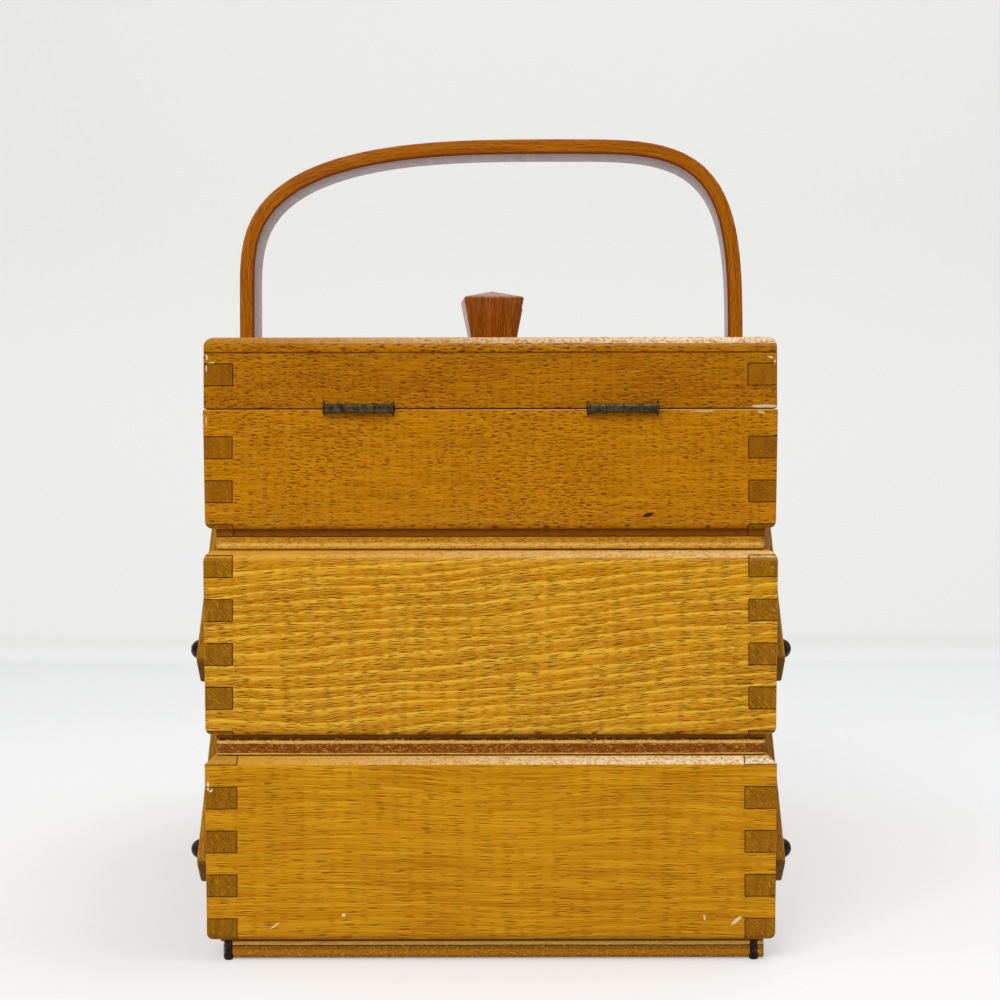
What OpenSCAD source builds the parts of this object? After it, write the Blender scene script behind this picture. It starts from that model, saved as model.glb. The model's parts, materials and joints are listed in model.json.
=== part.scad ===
// Wooden sewing carrier with two lids: a long base box, and above it, at each end,
// a middle tray and a lidded top tray that swing outward together on side arms.
// X runs across the carrier, Y along it, Z up. The near end is at -Y.
// The origin is on the ground, under the middle of the carrier.

/* [Carrier] */
// Length over the end boards, closed
carrier_l = 400; // [360:1:440]
// Width of both tray tiers over their side boards
tray_w = 239.4; // [225:0.2:250]
// Width of the base box over its side boards
base_w = 238.4; // [224:0.2:249]
// Width of the lids
lid_w = 238.8; // [224:0.2:249]
// Thickness of the side, end and rail boards of the trays and lids
board_t = 12.2; // [10:0.1:14]
// Thickness of the boards of the base box
base_board_t = 13.4; // [10:0.1:16]
// Gap between the near and the far half where they meet
half_gap = 1.0; // [0.6:0.1:2]
// Gap between one tier and the next when closed
tier_gap = 0.3; // [0.2:0.05:0.6]
// Narrowing of a tier's width toward its lower edge, on each side
wall_lean = 0.8; // [0:0.1:1.5]

/* [Heights] */
// Height of the walls of the base box
base_wall_h = 76.5; // [70:0.5:82]
// Height of the walls of the middle trays
mid_wall_h = 77; // [70:0.5:82]
// Height of the walls of the top trays
top_wall_h = 50; // [46:0.5:56]
// Height of the rails under each lid panel
lid_rail_h = 23.5; // [20:0.5:30]
// Thickness of each lid panel
lid_panel_t = 6.5; // [5:0.5:8]
// Thickness of the floor boards, with the gap below them
floor_t = 9; // [7:0.5:10]

/* [Edges] */
// Bevel on the outer rim of the base box
rim_bevel = 3.2; // [1:0.1:5]
// Rounding of the outer rim of the middle trays
rim_round = 4.5; // [1:0.1:6]
// Rounding under the outer faces of the walls
foot_round = 3; // [1:0.1:4]
// Rounding of the upper edge of the lid panels
lid_round = 4; // [1:0.1:4.5]
// Set-back of each floor board behind the walls above it
floor_inset = 4; // [3.5:0.1:6]
// Rounding of the upright corners of the floor boards
floor_corner_r = 2; // [1:0.5:4]

/* [Finger joints] */
// Height of one finger
finger_h = 9.15; // [7:0.05:12]

/* [Arms] */
// Width of an arm
arm_w = 18; // [15:0.5:20]
// Thickness of an arm
arm_t = 4.3; // [3.5:0.1:5]
// Distance from an arm's last pivot to its end
arm_end = 12; // [10:0.5:13]
// Gap between the tray sides and the arms
arm_gap = 0.3; // [0.2:0.05:0.6]
// Distance from the end of the carrier to the first pivot
pivot_inset = 25; // [22:1:30]
// Distance between neighbouring pivots along a tier
pivot_step = 72; // [60:1:74]
// Height of a pivot above the lower face of its own tier's floor board
pivot_h = 43; // [38:1:48]
// Radius of the pivot screws' shanks
pivot_r = 2; // [1.5:0.1:2.5]

/* [Handle] */
// Width of the bent handle band
handle_w = 26; // [20:0.5:32]
// Thickness of the handle band
handle_t = 7.5; // [6:0.1:9]
// Span between the inner faces of the handle's legs
handle_span = 241.6; // [241:0.1:252]
// Height of the top of the handle above the ground
handle_top = 375.6; // [360:0.5:400]
// Sideways place of the handle's highest point
handle_peak_x = 33; // [-40:1:40]
// Height at which the left leg starts to bend
left_spring = 299; // [285:1:310]
// Height at which the right leg starts to bend
right_spring = 262; // [255:1:300]
// Squareness of the left shoulder of the arch
left_square = 3; // [2:0.1:4]
// Squareness of the right shoulder of the arch
right_square = 3.9; // [2:0.1:4.5]
// Height of the lower ends of the legs above the ground
leg_foot = 16; // [12:1:30]
// Height at which the legs meet the arch, above all that passes between the legs
leg_top = 306; // [305:1:320]

/* [Knobs] */
// Side of a knob where it stands on the lid
knob_foot_w = 18; // [14:0.5:24]
// Side of a knob at its rim
knob_rim_w = 29.8; // [24:0.2:34]
// Height of a knob's rim above the lid
knob_rim_h = 31.8; // [24:0.2:36]
// Height of the low pyramid on top of a knob
knob_cap_h = 4; // [2:0.5:6]
// Distance of each knob from the middle of the carrier
knob_inset = 30; // [26:1:40]
// Turn of each knob about its own upright axis
knob_turn = 4.5; // [0:0.5:10]

/* [Lid hinges] */
// Width of a hinge
hinge_w = 27.6; // [26:0.1:36]
// Distance of each hinge from the middle of the lid
hinge_x = 55; // [40:1:70]
// Radius of the hinge knuckles
knuckle_r = 2; // [1.8:0.1:2.4]
// Radius of the hinge pins
hinge_pin_r = 1; // [0.8:0.1:1.2]

/* [Inside] */
// Thickness of the divider in each middle tray
divider_t = 6; // [4:0.5:8]
// Height of the dividers
divider_h = 62; // [40:1:72]

/* [Hidden] */

near = -1;
far = 1;
left = -1;
right = 1;

// The four tiers, from the ground up
base = 0;
mid = 1;
top = 2;
lid = 3;

beech = "#c68a2a";
end_grain = "#a9772b";
dark_beech = "#b0701f";
knob_wood = "#6e3d1c";
black_steel = "#1c1a19";
aged_brass = "#7a5c2c";

half_l = carrier_l / 2;
glide_drop = 0.8;
base_z = floor_t;
mid_z = base_z + base_wall_h + floor_t;
top_z = mid_z + mid_wall_h + floor_t;
lid_z = top_z + top_wall_h;

// Lower face, upper face and half widths of each tier's walls
wall_z0 = [base_z, mid_z, top_z, lid_z + tier_gap / 2];
wall_z1 = [base_z + base_wall_h, mid_z + mid_wall_h, lid_z - tier_gap / 2,
           lid_z + lid_rail_h];
half_w = [base_w / 2, tray_w / 2, tray_w / 2, lid_w / 2];
wall_t = [base_board_t, board_t, board_t, board_t];
lean = [wall_lean, wall_lean, wall_lean, 0];
rim_size = [rim_bevel, rim_round, 0.4, 0.2];
foot_r = [foot_round, foot_round, foot_round, 0.5];
// Each tier's walls end in a set-back lip that stands on the floor board
lip_h = [1.3, 1.5, 3.3, 0];
lip_in = [floor_inset + 1, floor_inset, floor_inset, 0];
floor_z1 = [for (tier = [base : top]) wall_z0[tier] - lip_h[tier]];

// Height at which each tier's lowest side-board finger starts, above the wall's
// foot. The boards were cut from one long jointed row, so a tier can start
// inside a finger.
finger_start = [0, -7.4, -7.3, 9.5];
finger_count = [5, 5, 3, 1];
finger_pitch = 2 * finger_h;

// Each tier's pivots: distance from the end of the carrier, and height
near_pivot = pivot_inset;
middle_pivot = pivot_inset + pivot_step;
inner_pivot = pivot_inset + 2 * pivot_step;
tier_pitch = base_wall_h + floor_t;
pivot_z = [pivot_h, pivot_h + tier_pitch, pivot_h + 2 * tier_pitch];
arm_x = tray_w / 2 + arm_gap;
arm_corner_r = 3;
screw_fit = 0.06;
loose_fit = 0.3;
pilot_fit = 0.02;
pivot_head_r = 4.25;
pivot_head_gap = 0.1;
screw_depth = 8;
slot_w = 1;
slot_d = 1.2;

// Outer faces of the handle's legs, and the countersunk screws that hold them
handle_out = handle_span / 2 + handle_t;
handle_screw_z = [34, 66];
flat_head_r = 4;
flat_head_h = 2.6;
flat_head_sink = 0.1;
flat_shank_r = 1.9;
packer_gap = 0.02;
arch_steps = 18;

// Hinge pin axis, just outside the end of the carrier at the split line
hinge_out = 2.5;
leaf_t = 1.2;
leaf_depth = 9.3;
leaf_play = 0.15;
knuckle_count = 4;
knuckle_play = 0.12;
pin_head_r = 2.3;
pin_head_t = 0.8;
leaf_screw_x = 9.5;
leaf_screw_in = 5.2;
leaf_screw_r = 1.3;
leaf_screw_head_r = 2.4;
leaf_screw_l = 9;

knob_crown_w = 7;
knob_tip_w = 1;
knob_screw_r = 1.9;
knob_screw_head_r = 4;
knob_screw_head_h = 2.4;
knob_screw_l = 18;

glide_x = 110;
glide_stem_r = 1.7;
glide_head_r = 2;
glide_head_h = 2.2;
glide_edge = 0.6;
glide_step_back = 0.6;
// The base floor board is fixed a little to the right of the middle
base_floor_shift = 1;

big = 400;
// Thickness of the sheets that a knob's form is stretched between
thin = 0.01;
round_steps = 5;
$fn = 48;

// Points on an arc from angle a0 to angle a1
function arc(cx, cy, r, a0, a1, steps = round_steps) =
    [for (i = [0 : steps]) let (a = a0 + (a1 - a0) * i / steps)
        [cx + r * cos(a), cy + r * sin(a)]];

function mirrored(points) =
    [for (i = [len(points) - 1 : -1 : 0]) [-points[i][0], points[i][1]]];

// The fingers of the side boards, and those of the end boards between them
function side_fingers(tier) =
    [for (k = [0 : finger_count[tier] - 1])
        let (a = finger_start[tier] + k * finger_pitch)
        [a > 0 ? a : -lip_h[tier], min(wall_z1[tier] - wall_z0[tier], a + finger_h)]];

function end_fingers(tier) =
    let (cuts = concat([-lip_h[tier]], [for (f = side_fingers(tier)) each f],
                       [wall_z1[tier] - wall_z0[tier]]))
    [for (k = [0 : 2 : len(cuts) - 2]) if (cuts[k + 1] > cuts[k]) [cuts[k], cuts[k + 1]]];

// Puts a near-half shape at its own end of the carrier
module at_half(half) {
    rotate([0, 0, half == far ? 180 : 0]) children();
}

// A box between two corners
module block(low, high) {
    translate(low) cube(high - low);
}

// Extrudes an outline in X and Z along Y, from y0 to y1
module along_y(y0, y1) {
    translate([0, y1, 0]) rotate([90, 0, 0]) linear_extrude(height = y1 - y0) children();
}

// Extrudes an outline in Y and Z along X, to both sides
module along_x(w) {
    translate([-w / 2, 0, 0]) rotate([90, 0, 90]) linear_extrude(height = w) children();
}

// Outer rim of a tier, from its upright face to its top, as seen from the corner
function rim(tier) = let (r = rim_size[tier])
    tier == mid ? arc(-r, -r, r, 0, 90) : [[0, -r], [-r, 0]];

function far_rim(tier, x, z) = [for (p = rim(tier)) [x + p[0], z + p[1]]];

function near_rim(tier, x, z) = let (points = rim(tier))
    [for (k = [len(points) - 1 : -1 : 0]) [x - points[k][0], z + points[k][1]]];

// Lip under a tier's foot, from its lower to its upper corner
function lip(tier, x, z) =
    lip_h[tier] > 0 ? [[x, z - lip_h[tier]], [x, z]] : [];

function near_lip(tier, x, z) =
    lip_h[tier] > 0 ? [[x, z], [x, z - lip_h[tier]]] : [];

// Outline of a tier's width: set-back lip, rounded foot, leaning wall and rim
module width_outline(tier) {
    w1 = half_w[tier];
    w0 = w1 - lean[tier];
    z0 = wall_z0[tier];
    r = foot_r[tier];
    side = concat(lip(tier, w0 - lip_in[tier], z0), arc(w0 - r, z0 + r, r, -90, 0),
                  far_rim(tier, w1, wall_z1[tier]));
    polygon(concat(side, mirrored(side)));
}

// Outline of a tier's length from y0 to y1. An end on the outside of the carrier
// has the same lip, foot and rim as the sides.
module length_outline(tier, y0, y1, outer_far) {
    z0 = wall_z0[tier];
    z1 = wall_z1[tier];
    r = foot_r[tier];
    in = lip_in[tier];
    near_side = concat(near_rim(tier, y0, z1), arc(y0 + r, z0 + r, r, 180, 270),
                       near_lip(tier, y0 + in, z0));
    outer_side = concat(lip(tier, y1 - in, z0), arc(y1 - r, z0 + r, r, 270, 360),
                        far_rim(tier, y1, z1));
    meeting_side = [[y1, z0 - lip_h[tier]], [y1, z1]];
    polygon(concat(near_side, outer_far ? outer_side : meeting_side));
}

// The whole outer form of a tier, which its boards are cut to
module tier_form(tier, y0, y1, outer_far) {
    intersection() {
        along_y(y0 - 1, y1 + 1) width_outline(tier);
        along_x(big) length_outline(tier, y0, y1, outer_far);
    }
}

// One side board between y0 and y1, with its fingers at both ends
module side_board(tier, side, y0, y1, outer_far) {
    t = wall_t[tier];
    w = half_w[tier] - t;
    z0 = wall_z0[tier];
    intersection() {
        tier_form(tier, y0, y1, outer_far);
        mirror([side == left ? 1 : 0, 0, 0]) union() {
            block([w, y0 + t, z0 - lip_h[tier]], [w + 2 * t, y1 - t, wall_z1[tier]]);
            for (f = side_fingers(tier), y = [y0, y1 - t])
                block([w, y, z0 + f[0]], [w + 2 * t, y + t, z0 + f[1]]);
        }
    }
}

// One end board, whose outer or inner face is at y, reaching toward inward
module end_board(tier, y0, y1, outer_far, at_far) {
    t = wall_t[tier];
    w = half_w[tier] - t;
    z0 = wall_z0[tier];
    a = at_far ? y1 - t : y0;
    intersection() {
        tier_form(tier, y0, y1, outer_far);
        union() {
            block([-w, a, z0 - lip_h[tier]], [w, a + t, wall_z1[tier]]);
            for (f = end_fingers(tier), s = [left, right])
                mirror([s == left ? 1 : 0, 0, 0])
                    block([w, a, z0 + f[0]], [w + 2 * t, a + t, z0 + f[1]]);
        }
    }
}

// Turns a shape built along +Z so that it points outward through one side
module outward(side, y, z) {
    translate([0, y, z]) rotate([0, side * 90, 0]) children();
}

// Round pilot hole for a screw through a side board
module pilot(side, y, z, r) {
    outward(side, y, z) translate([0, 0, arm_x - screw_depth - 1])
        cylinder(r = r + pilot_fit, h = screw_depth + 10);
}

// Domed, slotted pivot screw with its shank in the side board
module pivot_screw(side, y, z) {
    head_x = arm_x + arm_t + pivot_head_gap;
    outward(side, y, z) difference() {
        union() {
            translate([0, 0, arm_x - screw_depth])
                cylinder(r = pivot_r, h = head_x + 1 - arm_x + screw_depth);
            translate([0, 0, head_x]) intersection() {
                sphere(r = pivot_head_r);
                cylinder(r = pivot_head_r + 1, h = pivot_head_r);
            }
        }
        translate([-slot_w / 2, -big / 2, head_x + pivot_head_r - slot_d])
            cube([slot_w, big, 2 * slot_d]);
    }
}

function near_y(from_end) = -half_l + from_end;
inner_y = -half_gap / 2;

// Base box

module base_end(half) {
    color(beech) end_board(base, -half_l, half_l, true, half == far);
}

module base_side(side) {
    color(dark_beech) difference() {
        side_board(base, side, -half_l, half_l, true);
        for (half = [near, far], p = [near_pivot, middle_pivot])
            pilot(side, half * (half_l - p), pivot_z[base], pivot_r);
        for (z = handle_screw_z)
            pilot(side, 0, z, flat_shank_r);
    }
}

// Board with rounded corners
module floor_board(x0, x1, y0, y1, z0, z1) {
    r = floor_corner_r;
    outline = concat(arc(x1 - r, y1 - r, r, 0, 90), arc(x0 + r, y1 - r, r, 90, 180),
                     arc(x0 + r, y0 + r, r, 180, 270), arc(x1 - r, y0 + r, r, 270, 360));
    translate([0, 0, z0]) linear_extrude(height = z1 - z0) polygon(outline);
}

module base_floor() {
    w = half_w[base] - lean[base] - lip_in[base];
    l = half_l - lip_in[base];
    color(dark_beech) difference() {
        floor_board(-w + base_floor_shift, w + base_floor_shift, -l, l,
                    glide_drop, floor_z1[base]);
        for (x = [-glide_x, glide_x], y = [-l, l])
            translate([x, y - sign(y) * glide_step_back, 0]) {
                cylinder(r = glide_stem_r + pilot_fit, h = base_z + 1);
                cylinder(r = glide_head_r + pilot_fit, h = glide_head_h + pilot_fit);
            }
    }
}

module base_glides() {
    l = half_l - lip_in[base];
    color(black_steel) for (x = [-glide_x, glide_x], y = [-l, l])
        translate([x, y - sign(y) * glide_step_back, 0]) {
            cylinder(r1 = glide_head_r - glide_edge, r2 = glide_head_r, h = glide_edge);
            translate([0, 0, glide_edge])
                cylinder(r = glide_head_r, h = glide_head_h - glide_edge);
            cylinder(r = glide_stem_r, h = floor_z1[base]);
        }
}

// Countersunk, slotted screw through a leg and its packer into the base side
module handle_screw(side, z) {
    head_x = handle_out - flat_head_sink;
    outward(side, 0, z) difference() {
        union() {
            translate([0, 0, arm_x - screw_depth])
                cylinder(r = flat_shank_r, h = head_x - arm_x + screw_depth);
            translate([0, 0, head_x - flat_head_h])
                cylinder(r1 = flat_shank_r, r2 = flat_head_r, h = flat_head_h);
        }
        translate([-slot_w / 2, -big / 2, handle_out - slot_d])
            cube([slot_w, big, 2 * slot_d]);
    }
}

module base_screws() {
    color(black_steel) {
        for (half = [near, far], side = [left, right], p = [near_pivot, middle_pivot])
            pivot_screw(side, half * (half_l - p), pivot_z[base]);
        for (side = [left, right], z = handle_screw_z)
            handle_screw(side, z);
    }
}

// Outer outline of one half of the handle's arch, a squared-off oval, from the
// spring line to the peak, and its inward normals
function arch_point(t, a, b, n, cx, cz) =
    [cx + a * pow(cos(t), 2 / n), cz + b * pow(sin(t), 2 / n)];

function arch_normal(t, a, b, n) =
    let (nx = pow(cos(t), 2 * (n - 1) / n) / abs(a) * sign(a),
         nz = pow(sin(t), 2 * (n - 1) / n) / b,
         len = sqrt(nx * nx + nz * nz))
    [nx / len, nz / len];

function arch_side(a, spring, n, depth) = let (b = handle_top - spring)
    [for (i = [0 : arch_steps]) let (t = 90 * i / arch_steps)
        arch_point(t, a, b, n, handle_peak_x, spring)
        - depth * arch_normal(t, a, b, n)];

// Front outline of the bent strip, from one foot over the arch to the other
module handle_outline() {
    right_a = handle_out - handle_peak_x;
    left_a = -handle_out - handle_peak_x;
    function reversed(v) = [for (i = [len(v) - 1 : -1 : 0]) v[i]];
    outer_arch = concat(arch_side(right_a, right_spring, right_square, 0),
                        reversed(arch_side(left_a, left_spring, left_square, 0)));
    inner_arch = concat(arch_side(right_a, right_spring, right_square, handle_t),
                        reversed(arch_side(left_a, left_spring, left_square, handle_t)));
    polygon(concat([[handle_out, leg_foot]], outer_arch,
                   [[-handle_out, leg_foot], [-handle_span / 2, leg_foot]],
                   reversed(inner_arch), [[handle_span / 2, leg_foot]]));
}

// The part of the strip between two heights
module handle_strip(z0, z1) {
    intersection() {
        along_y(-handle_w / 2, handle_w / 2) handle_outline();
        block([-big / 2, -big / 2, z0], [big / 2, big / 2, z1]);
    }
}

// Countersunk bores for the handle's screws, outward from the middle
module handle_bores() {
    head_x = handle_out - flat_head_sink;
    shank_r = flat_shank_r + pilot_fit;
    head_r = flat_head_r + pilot_fit;
    for (side = [left, right], z = handle_screw_z)
        outward(side, 0, z) {
            cylinder(r = shank_r, h = handle_out + 1);
            translate([0, 0, head_x - flat_head_h])
                cylinder(r1 = shank_r, r2 = head_r, h = flat_head_h);
            translate([0, 0, head_x]) cylinder(r = head_r, h = 1);
        }
}

// The bent arch over the carrier. It meets the legs face to face and carries
// their curve on, so that legs and arch read as one bent strip.
module handle_arch() {
    color(beech) handle_strip(leg_top, big);
}

module handle_legs() {
    color(beech) difference() {
        handle_strip(leg_foot, leg_top);
        handle_bores();
    }
}

// Thin wedges between the legs and the leaning sides of the base box. They hold
// the legs upright and clear of the trays above, which are a little wider.
module handle_packers() {
    foot = wall_z0[base] + foot_r[base];
    rim = wall_z1[base] - rim_size[base];
    function side_x(z) = half_w[base] - lean[base] * (rim - z) / (rim - foot);
    color(dark_beech) difference() {
        for (side = [left, right])
            mirror([side == left ? 1 : 0, 0, 0])
                along_y(-handle_w / 2, handle_w / 2)
                    polygon([[side_x(leg_foot) + packer_gap, leg_foot],
                             [handle_span / 2, leg_foot],
                             [handle_span / 2, rim],
                             [side_x(rim) + packer_gap, rim]]);
        handle_bores();
    }
}

// Middle trays

module mid_end(half, inner) {
    color(beech) at_half(half) end_board(mid, -half_l, inner_y, false, inner);
}

// A side of a turned half is built on the other side first
function built_side(half, side) = half == far ? -side : side;

module mid_side(half, side) {
    s = built_side(half, side);
    color(dark_beech) at_half(half) difference() {
        side_board(mid, s, -half_l, inner_y, false);
        for (p = [near_pivot, middle_pivot, inner_pivot])
            pilot(s, near_y(p), pivot_z[mid], pivot_r);
    }
}

module tray_floor(half, tier) {
    w = half_w[tier] - lean[tier] - lip_in[tier];
    color(dark_beech) at_half(half)
        floor_board(-w, w, near_y(lip_in[tier]), inner_y,
                    wall_z0[tier] - floor_t + tier_gap, floor_z1[tier]);
}

module mid_divider(half) {
    w = half_w[mid] - board_t;
    y = (near_y(board_t) + inner_y - board_t) / 2;
    color(beech) at_half(half)
        block([-w, y - divider_t / 2, floor_z1[mid]],
              [w, y + divider_t / 2, floor_z1[mid] + divider_h]);
}

module mid_pivot_screws(half) {
    color(black_steel) at_half(half) for (s = [left, right],
                                          p = [near_pivot, middle_pivot, inner_pivot])
        pivot_screw(s, near_y(p), pivot_z[mid]);
}

// Top trays

module top_end(half, inner) {
    color(beech) at_half(half) difference() {
        end_board(top, -half_l, inner_y, false, inner);
        if (!inner) leaf_recesses(below = true);
    }
}

module top_side(half, side) {
    s = built_side(half, side);
    color(dark_beech) at_half(half) difference() {
        side_board(top, s, -half_l, inner_y, false);
        for (p = [middle_pivot, inner_pivot])
            pilot(s, near_y(p), pivot_z[top], pivot_r);
    }
}

module top_screws(half) {
    color(black_steel) at_half(half) {
        for (s = [left, right], p = [middle_pivot, inner_pivot])
            pivot_screw(s, near_y(p), pivot_z[top]);
        leaf_screws(below = true);
    }
}

// Lid hinges. Below the split line they belong to the tray, above it to the lid.

module leaf_recesses(below) {
    flip = below ? 1 : 0;
    translate([0, 0, lid_z]) mirror([0, 0, flip]) for (x = [-hinge_x, hinge_x]) {
        block([x - hinge_w / 2 - leaf_play, near_y(-1), 0],
              [x + hinge_w / 2 + leaf_play, near_y(leaf_depth + leaf_play),
               tier_gap / 2 + leaf_t + screw_fit]);
        for (s = [left, right])
            translate([x + s * leaf_screw_x, near_y(leaf_screw_in), 0])
                cylinder(r = leaf_screw_r + pilot_fit, h = leaf_screw_l + 1);
    }
}

module leaf_screws(below) {
    flip = below ? 1 : 0;
    z0 = tier_gap / 2;
    translate([0, 0, lid_z]) mirror([0, 0, flip]) for (x = [-hinge_x, hinge_x],
                                                       s = [left, right])
        translate([x + s * leaf_screw_x, near_y(leaf_screw_in), z0 + pilot_fit]) {
            cylinder(r1 = leaf_screw_head_r, r2 = leaf_screw_r, h = leaf_t);
            cylinder(r = leaf_screw_r, h = leaf_screw_l);
        }
}

// Both leaves of one side of the lid's hinges, with every other knuckle
module hinge_leaves(below) {
    flip = below ? 1 : 0;
    z0 = tier_gap / 2;
    step = hinge_w / knuckle_count;
    bore_r = hinge_pin_r + (below ? pilot_fit : screw_fit);
    first = below ? 0 : 1;
    translate([0, 0, lid_z]) mirror([0, 0, flip]) for (x = [-hinge_x, hinge_x])
        difference() {
            union() {
                block([x - hinge_w / 2, near_y(leaf_play), z0],
                      [x + hinge_w / 2, near_y(leaf_depth), z0 + leaf_t]);
                for (k = [first : 2 : knuckle_count - 1]) {
                    a = x - hinge_w / 2 + k * step + knuckle_play / 2;
                    translate([a, near_y(-hinge_out), 0]) rotate([0, 90, 0])
                        cylinder(r = knuckle_r, h = step - knuckle_play);
                    block([a, near_y(-hinge_out), z0],
                          [a + step - knuckle_play, near_y(1), z0 + leaf_t]);
                }
            }
            translate([x - hinge_w, near_y(-hinge_out), 0]) rotate([0, 90, 0])
                cylinder(r = bore_r, h = 2 * hinge_w);
            for (s = [left, right])
                translate([x + s * leaf_screw_x, near_y(leaf_screw_in), z0]) {
                    cylinder(r1 = leaf_screw_head_r + pilot_fit,
                             r2 = leaf_screw_r + pilot_fit, h = leaf_t + pilot_fit);
                    translate([0, 0, -1])
                        cylinder(r = leaf_screw_r + pilot_fit, h = leaf_t + 2);
                }
        }
}

module hinge_pins() {
    for (x = [-hinge_x, hinge_x]) translate([x, near_y(-hinge_out), lid_z])
        rotate([0, 90, 0]) {
            cylinder(r = hinge_pin_r, h = hinge_w + 2 * pin_head_t, center = true);
            for (s = [left, right])
                translate([0, 0, s * (hinge_w + pin_head_t) / 2])
                    cylinder(r = pin_head_r, h = pin_head_t, center = true);
        }
}

module top_hinge_leaves(half) {
    color(aged_brass) at_half(half) {
        hinge_leaves(below = true);
        hinge_pins();
    }
}

module lid_hinge_leaves(half) {
    color(aged_brass) at_half(half) hinge_leaves(below = false);
}

// Lids

module lid_end_rail(half, inner) {
    color(beech) at_half(half) difference() {
        end_board(lid, -half_l, inner_y, false, inner);
        if (!inner) leaf_recesses(below = false);
    }
}

module lid_side_rail(half, side) {
    color(dark_beech) at_half(half)
        side_board(lid, built_side(half, side), -half_l, inner_y, false);
}

knob_y = -knob_inset;
panel_z = lid_z + lid_rail_h;
panel_top = panel_z + lid_panel_t;

module lid_panel(half) {
    w = lid_w / 2;
    r = lid_round;
    side = concat([[w, panel_z]], arc(w - r, panel_top - r, r, 0, 90));
    outer_end = concat(arc(-half_l + r, panel_top - r, r, 90, 180), [[-half_l, panel_z]]);
    color(beech) at_half(half) difference() {
        intersection() {
            along_y(-half_l - 1, 0) polygon(concat(side, mirrored(side)));
            along_x(big) polygon(concat(outer_end, [[inner_y, panel_z],
                                                    [inner_y, panel_top]]));
        }
        translate([0, knob_y, panel_z - 1])
            cylinder(r = knob_screw_r + pilot_fit, h = lid_panel_t + 2);
    }
}

module lid_knob(half) {
    color(knob_wood) at_half(half) translate([0, knob_y, panel_top])
        rotate([0, 0, knob_turn]) difference() {
            union() {
                hull() {
                    translate([0, 0, thin / 2])
                        cube([knob_foot_w, knob_foot_w, thin], center = true);
                    translate([0, 0, knob_rim_h - thin / 2])
                        cube([knob_rim_w, knob_rim_w, thin], center = true);
                }
                hull() {
                    translate([0, 0, knob_rim_h - thin])
                        cube([knob_rim_w, knob_rim_w, thin], center = true);
                    translate([0, 0, knob_rim_h + knob_cap_h - 1])
                        cube([knob_crown_w, knob_crown_w, thin], center = true);
                    translate([0, 0, knob_rim_h + knob_cap_h])
                        cube([knob_tip_w, knob_tip_w, thin], center = true);
                }
            }
            translate([0, 0, -1])
                cylinder(r = knob_screw_r + pilot_fit, h = knob_screw_l - lid_panel_t + 2);
        }
}

module lid_screws(half) {
    color(black_steel) at_half(half) {
        translate([0, knob_y, panel_z]) {
            cylinder(r = knob_screw_r, h = knob_screw_l);
            difference() {
                translate([0, 0, -knob_screw_head_h])
                    cylinder(r1 = knob_screw_r + 0.6, r2 = knob_screw_head_r,
                             h = knob_screw_head_h);
                translate([-big / 2, -slot_w / 2, -knob_screw_head_h - 1])
                    cube([big, slot_w, slot_d + 1]);
            }
        }
        leaf_screws(below = false);
    }
}

// Arms

// A flat arm from pivot p to pivot q, each given as distance from the end of the
// carrier and height, with a bore at each listed distance along it
module arm(side, p, q, bores) {
    along = q - p;
    l = norm(along);
    tilt = atan2(along[1], along[0]);
    r = arm_corner_r;
    x0 = -arm_end + r;
    x1 = l + arm_end - r;
    y = arm_w / 2 - r;
    outline = concat(arc(x1, y, r, 0, 90), arc(x0, y, r, 90, 180),
                     arc(x0, -y, r, 180, 270), arc(x1, -y, r, 270, 360));
    inner_x = side == left ? -arm_x - arm_t : arm_x;
    translate([inner_x, near_y(p[0]), p[1]]) rotate([90, 0, 90]) rotate([0, 0, tilt])
        linear_extrude(height = arm_t) difference() {
            polygon(outline);
            for (b = bores)
                translate([b[0], 0]) circle(r = pivot_r + b[1]);
        }
}

arm_reach = norm([pivot_step, tier_pitch]);

module long_arms(half) {
    color(beech) at_half(half) for (side = [left, right])
        arm(side, [near_pivot, pivot_z[base]], [inner_pivot, pivot_z[top]],
            [[0, screw_fit], [arm_reach, screw_fit], [2 * arm_reach, screw_fit]]);
}

module lower_arms(half) {
    color(beech) at_half(half) for (side = [left, right])
        arm(side, [middle_pivot, pivot_z[base]], [inner_pivot, pivot_z[mid]],
            [[0, screw_fit], [arm_reach, loose_fit]]);
}

module upper_arms(half) {
    color(beech) at_half(half) for (side = [left, right])
        arm(side, [near_pivot, pivot_z[mid]], [middle_pivot, pivot_z[top]],
            [[0, screw_fit], [arm_reach, loose_fit]]);
}

base_end(near);  // base_near_end
base_end(far);  // base_far_end
base_side(left);  // base_left_side
base_side(right);  // base_right_side
base_floor();
base_glides();
base_screws();
handle_packers();
handle_legs();
handle_arch();
mid_end(near, false);  // near_mid_outer_end
mid_end(near, true);  // near_mid_inner_end
mid_side(near, left);  // near_mid_left_side
mid_side(near, right);  // near_mid_right_side
tray_floor(near, mid);  // near_mid_floor
mid_divider(near);  // near_mid_divider
mid_pivot_screws(near);  // near_mid_pivot_screws
mid_end(far, false);  // far_mid_outer_end
mid_end(far, true);  // far_mid_inner_end
mid_side(far, left);  // far_mid_left_side
mid_side(far, right);  // far_mid_right_side
tray_floor(far, mid);  // far_mid_floor
mid_divider(far);  // far_mid_divider
mid_pivot_screws(far);  // far_mid_pivot_screws
top_end(near, false);  // near_top_outer_end
top_end(near, true);  // near_top_inner_end
top_side(near, left);  // near_top_left_side
top_side(near, right);  // near_top_right_side
tray_floor(near, top);  // near_top_floor
top_screws(near);  // near_top_screws
top_hinge_leaves(near);  // near_top_hinge_leaves
top_end(far, false);  // far_top_outer_end
top_end(far, true);  // far_top_inner_end
top_side(far, left);  // far_top_left_side
top_side(far, right);  // far_top_right_side
tray_floor(far, top);  // far_top_floor
top_screws(far);  // far_top_screws
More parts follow.
